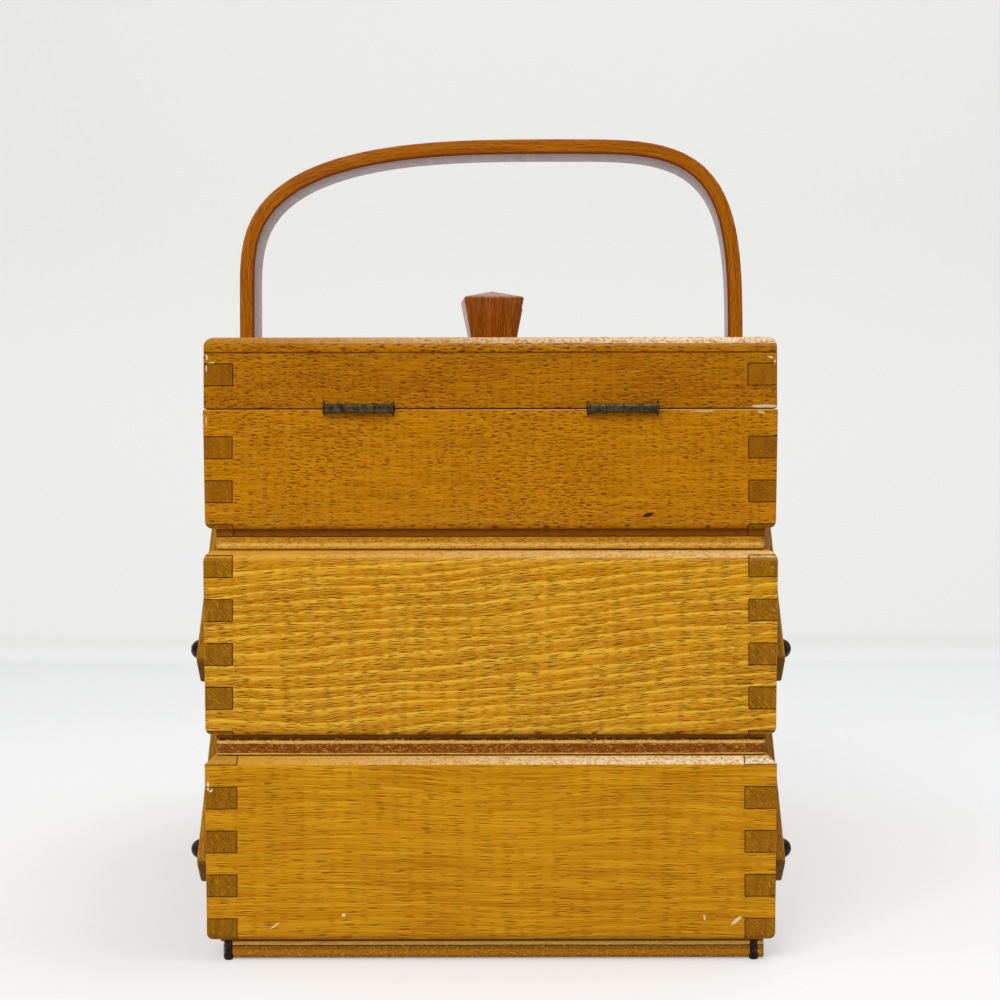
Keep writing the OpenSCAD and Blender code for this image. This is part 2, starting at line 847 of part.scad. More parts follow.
top_hinge_leaves(far);  // far_top_hinge_leaves
lid_end_rail(near, false);  // near_lid_outer_rail
lid_end_rail(near, true);  // near_lid_inner_rail
lid_side_rail(near, left);  // near_lid_left_rail
lid_side_rail(near, right);  // near_lid_right_rail
lid_panel(near);  // near_lid_panel
lid_knob(near);  // near_lid_knob
lid_screws(near);  // near_lid_screws
lid_hinge_leaves(near);  // near_lid_hinge_leaves
lid_end_rail(far, false);  // far_lid_outer_rail
lid_end_rail(far, true);  // far_lid_inner_rail
lid_side_rail(far, left);  // far_lid_left_rail
lid_side_rail(far, right);  // far_lid_right_rail
lid_panel(far);  // far_lid_panel
lid_knob(far);  // far_lid_knob
lid_screws(far);  // far_lid_screws
lid_hinge_leaves(far);  // far_lid_hinge_leaves
long_arms(near);  // near_long_arms
lower_arms(near);  // near_lower_arms
upper_arms(near);  // near_upper_arms
long_arms(far);  // far_long_arms
lower_arms(far);  // far_lower_arms
upper_arms(far);  // far_upper_arms
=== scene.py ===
"""Wooden sewing carrier with two lids: the finish of its boards, handle, knobs and metalwork.

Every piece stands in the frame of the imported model, in metres: X across the carrier, Y along
it with the near end at -Y, Z up from the ground.
"""

import json
import math

import bmesh
import bpy
import numpy as np
from bpy.props import FloatProperty, FloatVectorProperty, PointerProperty
from mathutils import Matrix, Vector
from mathutils.bvhtree import BVHTree

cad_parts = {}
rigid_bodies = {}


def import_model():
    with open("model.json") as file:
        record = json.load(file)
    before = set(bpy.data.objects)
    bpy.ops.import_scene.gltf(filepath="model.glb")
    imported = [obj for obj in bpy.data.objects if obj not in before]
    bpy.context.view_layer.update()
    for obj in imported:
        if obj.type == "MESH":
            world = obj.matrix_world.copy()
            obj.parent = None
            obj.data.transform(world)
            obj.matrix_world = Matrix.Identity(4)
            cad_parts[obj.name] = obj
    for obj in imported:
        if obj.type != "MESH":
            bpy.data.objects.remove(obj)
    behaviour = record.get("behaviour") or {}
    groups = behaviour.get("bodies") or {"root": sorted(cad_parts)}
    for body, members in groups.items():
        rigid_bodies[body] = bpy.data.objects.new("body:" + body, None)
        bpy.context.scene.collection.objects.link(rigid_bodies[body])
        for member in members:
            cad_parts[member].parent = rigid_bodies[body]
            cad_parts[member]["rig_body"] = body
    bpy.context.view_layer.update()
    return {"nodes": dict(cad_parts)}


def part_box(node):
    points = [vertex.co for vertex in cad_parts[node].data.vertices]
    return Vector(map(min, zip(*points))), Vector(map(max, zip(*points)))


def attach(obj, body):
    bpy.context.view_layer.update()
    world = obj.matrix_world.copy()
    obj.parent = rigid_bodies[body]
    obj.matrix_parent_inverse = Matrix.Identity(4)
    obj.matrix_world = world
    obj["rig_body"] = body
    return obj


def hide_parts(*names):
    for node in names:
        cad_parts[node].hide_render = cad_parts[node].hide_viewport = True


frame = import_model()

bl_info = {
    "name": "Sewing carrier with two lids",
    "version": (1, 0, 0),
    "blender": (4, 5, 0),
    "location": "3D View > Sidebar > Carrier",
    "description": "Builds the finished look of a wooden sewing carrier around its frame",
    "category": "Add Mesh",
}

MM = 0.001
HALVES = ("near", "far")
NODES = frame["nodes"]

LEGS_LOW, LEGS_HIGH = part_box("handle_legs")
ARCH_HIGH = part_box("handle_arch")[1]
KNOB_LOW, KNOB_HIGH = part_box("near_lid_knob")


def tint(code):
    """Linear colour of a display colour written as six hex digits."""
    parts = np.array([int(code[i:i + 2], 16) for i in (0, 2, 4)]) / 255
    return tuple(np.where(parts <= 0.04045, parts / 12.92, ((parts + 0.055) / 1.055) ** 2.4))


def colour(name, description, code):
    return FloatVectorProperty(
        name=name, description=description, subtype="COLOR", min=0, max=1, default=tint(code)
    )


def length(name, description, mm, low=0.0, high=1000.0):
    return FloatProperty(
        name=name, description=description, unit="LENGTH",
        default=mm * MM, min=low * MM, max=high * MM,
    )


def number(name, description, value, high=1.0, low=0.0):
    return FloatProperty(name=name, description=description, default=value, min=low, max=high)


def angle(name, description, degrees):
    return FloatProperty(
        name=name, description=description, unit="ROTATION", default=math.radians(degrees)
    )


# The colours of each wood: key, name, and what it colours
WOOD_COLOURS = (
    ("ground", "Ground", "Main colour of the {}"),
    ("deep", "Deep", "Darker patches of the {}"),
    ("light", "Light", "Pale growth lines of the {}"),
    ("fleck", "Fleck", "Short flecks of the {}"),
    ("cut", "End grain", "End grain of the {}"),
    # The last two colours are a painted highlight on the rims: golden where the rims face the
    # light above, palest toward the right where they reflect the lamp; pale chips take the last
    # one too
    ("rub", "Rim highlight", "Rims of the {} where the lacquer is rubbed"),
    ("shine", "Right-hand highlight", "Right-hand rims of the {}, rubbed palest"),
)
# The sizes of each wood: key, kind, name, what it is, its value for plain beech, and bounds
WOOD_SIZES = (
    ("fine_long", length, "Streak length", "Length of the fine streaks", 7, 1, 200),
    ("fine_amount", number, "Streak amount", "Strength of the fine streaks", 0.85),
    ("fleck_long", length, "Fleck length", "Length of a fleck along the grain", 2.7, 0.5, 40),
    ("fleck_wide", length, "Fleck width", "Width of a fleck across the grain", 0.55, 0.1, 5),
    ("fleck_amount", number, "Fleck amount", "Strength of the flecks", 0.95),
    ("fleck_share", number, "Fleck share", "Share of the cells that hold a fleck", 0.6),
    ("line_pitch", length, "Line pitch", "Distance between growth lines", 4.5, 0.5, 20),
    ("line_amount", number, "Line amount", "Strength of the growth lines", 0.25),
    ("patch_amount", number, "Patch amount", "Strength of the broad patches", 0.5),
    ("bow", number, "Bow", "Curve of the growth lines, per metre", 0.0),
    ("end_hatch", number, "End hatch", "Strength of the marks on end grain", 0.35),
    ("gloss", number, "Roughness", "Roughness of the lacquer", 0.3),
    ("sheen", number, "Sheen", "Strength of the lacquer's reflections", 0.1),
    # Strength of the painted highlight on the rims
    ("rub_amount", number, "Rub", "How far the rims are rubbed pale", 0.85),
    ("arris_amount", number, "Dark arris", "Strength of the dark line on the inner edge", 0.0),
)


def wood_group(class_name, title, shades, **sizes):
    """Property group of one lacquered wood. sizes holds what differs from plain beech."""
    props = {key: colour(name, text.format(title), shade)
             for (key, name, text), shade in zip(WOOD_COLOURS, shades)}
    for key, kind, name, text, value, *bounds in WOOD_SIZES:
        props[key] = kind(name, text, sizes.get(key, value), *bounds)
    return type(class_name, (bpy.types.PropertyGroup,), {"__annotations__": props})


LidWood = wood_group(
    "CARRIER_PG_lid_wood", "lids",
    ("AE6A02", "8E4802", "CC8C0C", "6A3002", "965C04", "AC7419", "F0DCB8"),
)
TopWood = wood_group(
    "CARRIER_PG_top_wood", "top trays",
    ("BE7502", "9A5602", "DA980E", "743A02", "965C04", "C89030", "E0C080"),
    fleck_long=2.8, patch_amount=0.4,
)
MidWood = wood_group(
    "CARRIER_PG_mid_wood", "middle trays",
    ("CA8202", "A66202", "F2BC36", "6C3A02", "986204", "D69C34", "ECC488"),
    fleck_long=4.6, fleck_wide=0.42, fleck_amount=0.9, fine_long=16, fine_amount=0.9,
    line_pitch=5.0, line_amount=0.95, bow=0.11,
)
BaseWood = wood_group(
    "CARRIER_PG_base_wood", "base box",
    ("CC8602", "A25E02", "E8AE1C", "704002", "986004", "D09A30", "FCECC8"),
    fleck_long=5.5, fleck_wide=0.42, fleck_amount=0.8, fleck_share=0.35, fine_long=40,
    fine_amount=1, line_pitch=7, patch_amount=0.4, end_hatch=0.4,
)
BentWood = wood_group(
    "CARRIER_PG_bent_wood", "handle",
    ("A65A02", "884602", "BE7A0E", "6E3602", "8A5A14", "D8B888", "F0E0C8"),
    fleck_long=5, fleck_amount=0.6, fine_long=30, fine_amount=0.7, line_pitch=3,
    gloss=0.19, sheen=0.22, arris_amount=0.8,
)
ArmWood = wood_group(
    "CARRIER_PG_arm_wood", "arms",
    ("A56C10", "8A5608", "C4901C", "714204", "7C5616", "C8A068", "E0C898"),
    fleck_long=3.6, fleck_amount=0.6, fine_long=20,
)
InnerWood = wood_group(
    "CARRIER_PG_inner_wood", "dividers",
    ("D0A055", "BE8A3E", "E2BE80", "94642A", "A87A3A", "E8D0A0", "F0E0C0"),
    fleck_amount=0.6, gloss=0.42,
)
KnobWood = wood_group(
    "CARRIER_PG_knob_wood", "knobs",
    ("9C4E04", "743402", "B87420", "5A2602", "8A5A2C", "A08D75", "C0B0A0"),
    fleck_long=6, fleck_wide=0.7, fleck_amount=0.6, line_pitch=9, line_amount=0.3,
    patch_amount=0.8, gloss=0.22, sheen=0.3,
)


class CARRIER_PG_plywood(bpy.types.PropertyGroup):
    """Colours of the plywood floor boards"""
    face: colour("Face", "Face veneer of the floor boards", "C68408")
    veneer: colour("Pale ply", "Pale plies on the edges", "F0BE5C")
    core: colour("Core", "Dark core on the edges", "864604")
    line: colour("Glue line", "Glue between the plies", "4E1A02")
    glow: colour("Orange ply", "Orange-brown plies of the base floor", "B87410")
    olive: colour("Lowest ply", "Olive-brown ply of the base floor", "986408")
    gloss: number("Roughness", "Roughness of the plywood", 0.36)


class CARRIER_PG_metal(bpy.types.PropertyGroup):
    """Colours of the screws, glides and hinges"""
    steel: colour("Steel", "Blackened steel of the screws and glides", "17110F")
    rust: colour("Rust", "Brown bloom on the steel", "3A2318")
    brass: colour("Brass", "Darkened brass of the hinges", "5A4722")
    tarnish: colour("Tarnish", "Tarnish on the brass", "1C140A")
    steel_gloss: number("Steel roughness", "Roughness of the steel", 0.34)
    brass_gloss: number("Brass roughness", "Roughness of the brass", 0.36)


class CARRIER_PG_shape(bpy.types.PropertyGroup):
    """Sizes of what the scene shapes by itself"""
    board_edge: length("Board edge", "Rounding of the boards' edges", 0.22, 0.05, 1)
    lid_edge: length("Lid edge", "Rounding of the edges of the lid's boards", 0.26, 0.05, 1)
    floor_edge: length("Floor edge", "Rounding of the edges of the floor boards", 0.7, 0.1, 2)
    arm_edge: length("Arm edge", "Rounding of the edges of the arms", 0.7, 0.1, 1.5)
    metal_edge: length("Metal edge", "Rounding of the edges of the metalwork", 0.12, 0.02, 0.4)
    joint_reach: length("Joint reach", "Distance within which two boards share a joint line",
                        0.45, 0.1, 2)
    base_lip: length("Base lip", "Height of the lip under the base box's walls", 1.3, 0, 5)
    mid_lip: length("Middle lip", "Height of the lip under the middle trays' walls", 1.5, 0, 5)
    top_lip: length("Top lip", "Height of the lip under the top trays' walls", 3.3, 0, 5)
    band_t: length("Handle thickness", "Thickness of the bent band", 7.5, 5, 9)
    band_edge: length("Handle edge", "Rounding of the edges of the bent band", 0.8, 0.3, 3)
    peak_x: length("Handle peak", "Sideways place of the handle's highest point", 33, -50, 50)
    left_spring: length("Left spring", "Height at which the left leg starts to bend",
                        299, 250, 340)
    right_spring: length("Right spring", "Height at which the right leg starts to bend",
                         262, 250, 340)
    left_square: number("Left squareness", "Squareness of the left shoulder", 3.0, 6, 2)
    right_square: number("Right squareness", "Squareness of the right shoulder", 3.9, 6, 2)
    twist_start: length("Twist start", "Height at which the legs start to turn", 84.5, 60, 100)
    twist_h: length("Twist height", "Height over which the legs turn fully", 120, 20, 200)
    leg_twist: angle("Leg twist", "Turn of the band about the upright in its legs", 2.2)
    twist_in: length("Twist inset", "How far the turned legs are drawn in", 0.2, 0, 1)
    knob_foot: length("Knob foot", "Side of a knob where it stands on the lid", 18, 10, 30)
    knob_rim: length("Knob rim", "Side of a knob at its rim", 29.8, 20, 40)
    knob_rim_h: length("Knob height", "Height of a knob's rim above the lid", 31.8, 20, 40)
    knob_edge: length("Knob edge", "Rounding of a knob's edges", 0.9, 0.2, 3)
    knob_inset: length("Knob inset", "Distance of a knob from the middle of the carrier",
                       30, 20, 80)
    knob_turn: angle("Knob turn", "Turn of a knob about its upright axis", 4.5)
    hinge_x: length("Hinge place", "Distance of a lid hinge from the middle", 55, 40, 70)
    knuckle: length("Knuckle", "Length of one knuckle of a lid hinge", 6.9, 5, 9)
    dome_r: length("Screw dome", "Radius of the domed screw heads", 4.25, 3, 5)
    slot_w: length("Screw slot", "Width of the slots in the screws", 1.0, 0.5, 1.6)


class CARRIER_PG_stage(bpy.types.PropertyGroup):
    """Camera, floor, wall and lamps"""
    camera_at: FloatVectorProperty(name="Camera", description="Place of the camera",
                                   unit="LENGTH", default=(0.00436, -1.03544, 0.19538))
    camera_pitch: angle("Pitch", "Upward tilt of the camera", -0.20)
    camera_yaw: angle("Yaw", "Turn of the camera toward +X", -0.027)
    camera_roll: angle("Roll", "Roll of the camera, clockwise", -0.078)
    focal: number("Focal length", "In pixels of the picture's width", 2007.17, 5000, 500)
    paper: number("Paper", "How much light the floor and the wall throw back", 0.5)
    floor_glow: colour("Floor glow", "Light the floor adds to what the camera sees", "ABACAC")
    wall_glow: colour("Wall glow", "Light the wall adds low down", "B9B9B7")
    high_glow: colour("High wall glow", "Light the wall adds high up", "B0B0AE")
    wall_y: length("Wall", "Distance of the wall behind the carrier", 1313, 500, 4000)
    room: number("Room", "Light from the dark room behind the camera", 0.08, 4)
    backdrop: number("Backdrop", "How pale the camera sees the room beyond the floor", 0.82)
    zenith: number("Zenith", "Light from straight above", 0.9, 4)
    horizon: number("Horizon", "Light from the side, all round", 0.45, 4)
    overhead: number("Overhead lamp", "Radiance of the lamp above", 5, 20)
    front: number("Front lamp", "Radiance of the lamp in front", 5.5, 20)
    rear: number("Rear lamp", "Radiance of the lamp behind", 2, 20)


class Field:
    """A number that changes over a surface: one output of a node, with arithmetic."""

    def __init__(self, paint, socket):
        self.paint, self.socket = paint, socket

    def maths(self, operation, *others):
        return self.paint.maths(operation, self, *others)

    def __add__(self, other):
        return self.maths("ADD", other)

    def __sub__(self, other):
        return self.maths("SUBTRACT", other)

    def __rsub__(self, other):
        return self.paint.maths("SUBTRACT", other, self)

    def __mul__(self, other):
        return self.maths("MULTIPLY", other)

    def __truediv__(self, other):
        return self.maths("DIVIDE", other)

    def __rtruediv__(self, other):
        return self.paint.maths("DIVIDE", other, self)

    __radd__ = __add__
    __rmul__ = __mul__

    def rise(self, low, high):
        """0 below low, 1 above high, and a smooth step between them."""
        return self.paint.node(
            "ShaderNodeMapRange", {"interpolation_type": "SMOOTHSTEP"},
            {"Value": self, "From Min": low, "From Max": high},
        )


class Paint:
    """The nodes of one material or one world."""

    def __init__(self, owner):
        owner.use_nodes = True
        self.owner, self.tree = owner, owner.node_tree
        self.tree.nodes.clear()

    def node(self, kind, settings=None, values=(), output=0):
        """Adds a node, makes its settings, then fills its sockets with values or links."""
        made = self.tree.nodes.new(kind)
        for key, value in (settings or {}).items():
            if key == "stops":
                self.stops(made.color_ramp, value)
            else:
                setattr(made, key, value)
        for key, value in values.items() if isinstance(values, dict) else enumerate(values):
            if isinstance(value, Field):
                self.tree.links.new(value.socket, made.inputs[key])
            else:
                made.inputs[key].default_value = value
        return None if output is None else Field(self, made.outputs[output])

    def maths(self, operation, *values):
        return self.node("ShaderNodeMath", {"operation": operation}, values)

    @staticmethod
    def stops(ramp, stops):
        while len(ramp.elements) < len(stops):
            ramp.elements.new(1.0)
        for element, (element.position, shade) in zip(ramp.elements, stops):
            element.color = (*shade, 1)

    def attribute(self, name, output="Vector"):
        return self.node("ShaderNodeAttribute", {"attribute_name": name}, output=output)

    def split(self, vector):
        made = self.node("ShaderNodeSeparateXYZ", values=[vector]).socket.node
        return [Field(self, out) for out in made.outputs]

    def join(self, x, y, z):
        return self.node("ShaderNodeCombineXYZ", values=[x, y, z])

    def noise(self, vector, detail=2.0, roughness=0.5):
        return self.node("ShaderNodeTexNoise", None,
                         {"Vector": vector, "Scale": 1.0, "Detail": detail,
                          "Roughness": roughness})

    def grains(self, at, sizes, detail=2.0, roughness=0.5):
        """Noise whose grains have these three sizes, in the units of the coordinates."""
        spot = self.join(*(part / size for part, size in zip(at, sizes)))
        return self.noise(spot, detail, roughness)

    def mix(self, amount, first, second, blend="MIX"):
        values = {0: amount, 6: self.rgba(first), 7: self.rgba(second)}
        return self.node("ShaderNodeMix", {"data_type": "RGBA", "blend_type": blend},
                         values, output=2)

    @staticmethod
    def rgba(value):
        return value if isinstance(value, Field) else (*value[:3], 1.0)

    def bump(self, height, distance, strength=1.0):
        return self.node("ShaderNodeBump", None,
                         {"Strength": strength, "Distance": distance, "Height": height},
                         output="Normal")

    def spot(self):
        """The three coordinates of the point in the frame, in millimetres."""
        return [part / MM for part in self.split(self.node("ShaderNodeTexCoord",
                                                           output="Object"))]

    def surface(self, hidden=None, **values):
        """Ends the tree in a Principled shader, see-through where hidden is 1."""
        names = {key.replace("_", " ").title().replace("Ior", "IOR"): value
                 for key, value in values.items()}
        shader = self.node("ShaderNodeBsdfPrincipled", None, names)
        if hidden is not None:
            clear = self.node("ShaderNodeBsdfTransparent")
            shader = self.node("ShaderNodeMixShader", None, [hidden, shader, clear])
        return self.end("ShaderNodeOutputMaterial", shader)

    def end(self, kind, shader):
        self.node(kind, None, {"Surface": shader}, output=None)
        return self.owner


def kept(maker):
    """Makes a material once and hands the same one out after that."""
    def get(name, *args):
        return bpy.data.materials.get(name) or maker(name, *args)
    return get


def new_paint(name):
    return Paint(bpy.data.materials.new(name))


# How far apart the noise takes different sticks of wood: along, across, through, millimetres
STICKS_APART = (1700, 900, 500)


class Grain:
    """Where a point lies in its stick of wood: along, across and through it, in millimetres."""

    def __init__(self, p, bow=0.0):
        along, across, through = p.split(p.attribute("grain"))
        seed, rise, self.tone = p.split(p.attribute("stick"))
        climb = along * (rise + along * (bow * MM))
        sway = p.noise(p.join(along / 85 + seed * 7, across / 40, through / 40), 1.0) - 0.5
        self.paint, self.deep = p, through
        far_along, far_across, far_through = (seed * apart for apart in STICKS_APART)
        self.along = along + far_along
        self.across = across - climb + sway * 5 + far_across
        self.through = through + sway * 4 + far_through
        self.lie = self.across + self.through * 0.7

    def noise(self, long, wide, deep, detail=2.0, roughness=0.5):
        """Noise whose grains are that long, wide and deep, in millimetres."""
        at = (self.along, self.across, self.through)
        return self.paint.grains(at, (long, wide, deep), detail, roughness)

    def streaks(self, long, wide, detail=2.0, roughness=0.5):
        """Noise drawn out along the grain, the same on every long-grain face."""
        spot = self.paint.join(self.along / long, self.lie / wide, 0.0)
        return self.paint.noise(spot, detail, roughness)

    def flecks(self, long, wide, amount, shift=0.0):
        """Short strokes: a soft spot in some cells of a Voronoi grid stretched with the grain.

        A cell is twice as long and wide as its spot. Its random colour decides whether it has
        one, so amount is the share of the cells that do. The shift moves them all across.
        """
        p = self.paint
        spot = p.join(self.along / (2 * long), (self.lie + shift) / (2 * wide), 0.0)
        cell = p.node("ShaderNodeTexVoronoi", {"voronoi_dimensions": "2D"},
                      {"Vector": spot, "Scale": 1.0})
        luck = p.split(Field(p, cell.socket.node.outputs["Color"]))[0]
        return (1 - cell.rise(0.14, 0.30)) * luck.maths("LESS_THAN", amount)

    def growth(self, pitch):
        """Growth lines: a slow rise to a thin line with a sharp end, again and again."""
        sway = self.streaks(140, 24, 1.0) + self.streaks(30, 5, 1.0) * 0.14
        saw = (self.lie / pitch + sway * 2.2).maths("FRACT")
        return (saw.rise(0.1, 0.9) * 0.35 + saw.rise(0.62, 0.90) * 0.65) * (
            1 - saw.rise(0.93, 0.995))


# Near-black of the joint lines, also painted as shade at the kerf ends; the dark line along the
# handle's inner edge; and painted shade in the gaps between the hinge knuckles
SEAM_AND_SHADE = (0.03, 0.008, 0.001)
ARRIS = (0.18, 0.026, 0.002)
KNUCKLE_SHADE = (0.004, 0.003, 0.002)
# The spots, worn chips and painted shade alike, lie in front of this, in millimetres
NEAR_FACE_Y = -190.0


def wood_colour(p, look, grain):
    """Colour and fleck mask of lacquered long grain."""
    patch = grain.noise(50, 17, 20, 3.0, 0.6)
    crowd = grain.noise(30, 22, 22, 2.0).rise(0.35, 0.65)
    some = crowd * look.fleck_share * 0.8 + look.fleck_share * 0.6
    long, wide = look.fleck_long / MM, look.fleck_wide / MM
    flecks = grain.flecks(long, wide, some)
    small = grain.flecks(long * 0.6, wide * 0.7, some)
    flecks = flecks.maths("MAXIMUM", small * 0.7)
    # A copy of the flecks shifted across the grain, for a painted highlight beside each fleck
    pale = grain.flecks(long, wide, some, wide * 0.8)
    line = grain.growth(look.line_pitch / MM)
    fine = grain.streaks(look.fine_long / MM, 0.5, 4.0, 0.75)
    broad = grain.streaks(look.fine_long / MM * 3, 2.2, 2.0, 0.6)
    shade = p.mix(patch.rise(0.36, 0.66) * look.patch_amount, look.ground, look.deep)
    shade = p.mix(broad.rise(0.48, 0.70) * 0.35, shade, look.light)
    shade = p.mix(line * look.line_amount, shade, look.light)
    shade = p.mix(fine.rise(0.48, 0.70) * look.fine_amount, shade, look.light)
    shade = p.mix((1 - fine.rise(0.32, 0.47)) * look.fine_amount, shade, look.deep)
    # Painted highlight beside each fleck
    shade = p.mix(pale * 0.5, shade, look.light)
    shade = p.mix(flecks * look.fleck_amount, shade, look.fleck)
    return shade, flecks, fine


def end_colour(p, look, grain):
    """Colour of a cut across the grain: nearly even, with pores and faint rings."""
    speck = grain.noise(20, 0.7, 0.7, 2.0, 0.7)
    rings = grain.noise(50, 12, 2.4, 2.0)
    shade = p.mix(rings.rise(0.35, 0.65) * look.end_hatch, look.cut, look.fleck)
    hatch = p.noise(p.join((grain.across + grain.through) / 0.8,
                           (grain.through - grain.across) / 6, 0.0), 2.0)
    shade = p.mix(hatch.rise(0.54, 0.66) * look.end_hatch * 0.7, shade, look.light)
    return p.mix(speck.rise(0.52, 0.75) * look.end_hatch, shade, look.light)


def mark(p, at, x, z, long, high, turn):
    """A spot on the near face, for worn chips and for painted shade at the kerf ends: an ellipse
    with a ragged edge, sizes in millimetres.
    """
    c, s = math.cos(turn), math.sin(turn)
    dx, dz = at[0] - x, at[2] - z
    u = (dx * c + dz * s) / (long / 2)
    v = (dz * c - dx * s) / (high / 2)
    ragged = p.noise(p.join(at[0] * 0.9, at[2] * 1.4, 0.0), 3.0, 0.7) - 0.5
    spread = u * u + v * v + ragged * 1.6
    return (1 - spread.rise(0.55, 1.05)) * at[1].maths("LESS_THAN", NEAR_FACE_Y)


@kept
def wood(name, look, marks=()):
    """Lacquered wood: flecked long grain, darker end grain, dark joint lines, worn edges, a
    painted highlight on the rims, and painted shade on the lips and at the kerf ends.

    marks lists spots on the near face: x and z of the middle, length and height, turn, and
    whether the spot is pale (True) or dark.
    """
    p = new_paint(name)
    grain = Grain(p, look.bow)
    at = p.spot()
    end, joint, wear = p.split(p.attribute("cut"))
    rim, lip = p.split(p.attribute("trim"))[:2]
    shade, flecks, fine = wood_colour(p, look, grain)
    shade = p.mix(end, shade, end_colour(p, look, grain))
    worn = p.grains(at, (11, 11, 11), 3.0)
    speckle = p.grains(at, (1.6, 1.6, 0.7), 3.0, 0.7)
    # Painted highlight on the rims, in specks: golden to the left, palest to the right, where
    # the rims reflect the lamp above
    shine = at[0].rise(-130, 110) * speckle.rise(0.30, 0.55)
    rim_highlit = rim * (0.5 + speckle.rise(0.36, 0.60) * 0.5) * look.rub_amount
    shade = p.mix(rim_highlit, shade, p.mix(shine, look.rub, look.shine))
    shade = p.mix(wear * worn.rise(0.42, 0.62) * 0.5, shade, look.light)
    # Painted shade, over a darker stain, on the lips at the foot of each wall
    shade = p.mix(lip * (1 - end * 0.5) * 0.8, shade, look.fleck)
    if look.arris_amount:
        shade = p.mix(grain.deep.rise(2.2, 3.0) * look.arris_amount, shade, ARRIS)
    # Pale spots are worn chips; the dark spots at the kerf ends are painted shade
    for *where, pale in marks:
        spot = mark(p, at, *where)
        shade = p.mix(spot * (0.7 if pale else 0.95), shade, look.shine if pale else SEAM_AND_SHADE)
    shade = p.mix(joint * 0.85, shade, SEAM_AND_SHADE)
    shade = p.mix(1.0, shade, grain.tone, "MULTIPLY")
    rough = look.gloss + flecks * 0.08 + worn * 0.10 + end * 0.12 + rim * 0.1
    return p.surface(
        base_color=shade, roughness=rough, coat_weight=look.sheen * 0.3, coat_roughness=0.1,
        specular_ior_level=look.sheen, normal=p.bump(fine * 0.35 - flecks * 0.5, 0.00006),
    )


@kept
def plywood(name, look, bands):
    """Floor board: veneered faces, and plies on its edges at their heights."""
    p = new_paint(name)
    sideways = p.split(p.attribute("cut"))[0]
    level = p.attribute("level", "Fac")
    at = p.split(p.attribute("grain"))
    streak = p.noise(p.join(at[0] / 120, at[1] / 2.5, 0.0), 3.0, 0.6)
    face = p.mix(streak.rise(0.35, 0.7) * 0.6, look.face, look.glow)
    shift = p.noise(p.join(at[0] / 18, at[1] / 18, 0.0), 2.0) - 0.5
    edge = p.node("ShaderNodeValToRGB", {"stops": bands}, [level + shift * 0.05])
    torn = p.grains(at, (1.5, 1.5, 0.5), 3.0, 0.75)
    dark = p.grains(at, (6, 6, 0.8), 2.0, 0.6)
    edge = p.mix(torn.rise(0.52, 0.66) * 0.6, edge, look.line)
    edge = p.mix(dark.rise(0.50, 0.68) * 0.3, edge, look.core)
    edge = p.mix((1 - torn.rise(0.34, 0.46)) * 0.6, edge, look.veneer)
    shade = p.mix(sideways, face, edge)
    return p.surface(
        base_color=shade, roughness=look.gloss + torn * sideways * 0.25,
        specular_ior_level=0.15, normal=p.bump(torn * sideways, 0.0002),
    )


@kept
def metal(name, bright, dull, gloss, amount, knuckle=0.0):
    """Old metal: a dull bloom in patches, fine scratches, and rings of painted shade in the gaps
    between the knuckles.

    knuckle is the length of a hinge knuckle in millimetres, or 0 for no rings.
    """
    p = new_paint(name)
    at = p.spot()
    bloom = p.grains(at, (2.4, 2.4, 2.4), 4.0, 0.65)
    scratch = p.grains(at, (3.3, 0.4, 0.4))
    mask = bloom.rise(0.42, 0.62)
    shade = p.mix(mask, bright, dull)
    # Painted shade: dark rings in the gaps between the hinge knuckles
    if knuckle:
        start = looks().shape.hinge_x / MM - knuckle * 2
        part = ((at[0].maths("ABSOLUTE") - start) / knuckle + 0.5).maths("FRACT") - 0.5
        ring = 1 - part.maths("ABSOLUTE").rise(0.03, 0.07)
        shade = p.mix(ring * 0.5, shade, KNUCKLE_SHADE)
    return p.surface(
        base_color=shade, metallic=amount - mask * 0.35,
        roughness=gloss + mask * 0.25, normal=p.bump(bloom * 0.6 + scratch * 0.4, 0.00008),
    )


def looks():
    return bpy.context.scene.carrier


def steel():
    look = looks().metal
    return metal("blackened_steel", look.steel, look.rust, look.steel_gloss, 0.7)


def brass():
    look = looks().metal
    return metal("old_brass", look.brass, look.tarnish, look.brass_gloss, 0.5,
                 looks().shape.knuckle / MM)


def body_of(node):
    return NODES[node]["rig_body"]


def place(name, mesh, slot, material, *nodes):
    """Puts a finished mesh into the scene as a piece that stands for CAD nodes."""
    piece = bpy.data.objects.new(name, mesh)
    bpy.context.scene.collection.objects.link(piece)
    mesh.materials.clear()
    mesh.materials.append(material)
    body = body_of(nodes[0])
    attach(piece, body)
    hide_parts(*nodes)
    return piece


def merged(node):
    """A copy of a CAD node's mesh with its loose triangles joined into whole faces."""
    work = bmesh.new()
    work.from_mesh(NODES[node].data)
    bmesh.ops.remove_doubles(work, verts=work.verts, dist=2e-6)
    bmesh.ops.dissolve_limit(work, angle_limit=math.radians(0.5), verts=work.verts,
                             edges=work.edges)
    points = [v.co[:] for v in work.verts]
    faces = [[v.index for v in f.verts] for f in work.faces]
    work.free()
    mesh = bpy.data.meshes.new(node)
    mesh.from_pydata(points, [], faces)
    return mesh


# Edges sharper than these, in degrees, are eased
WOOD_ANGLE, PLY_ANGLE, METAL_ANGLE = 28, 20, 40


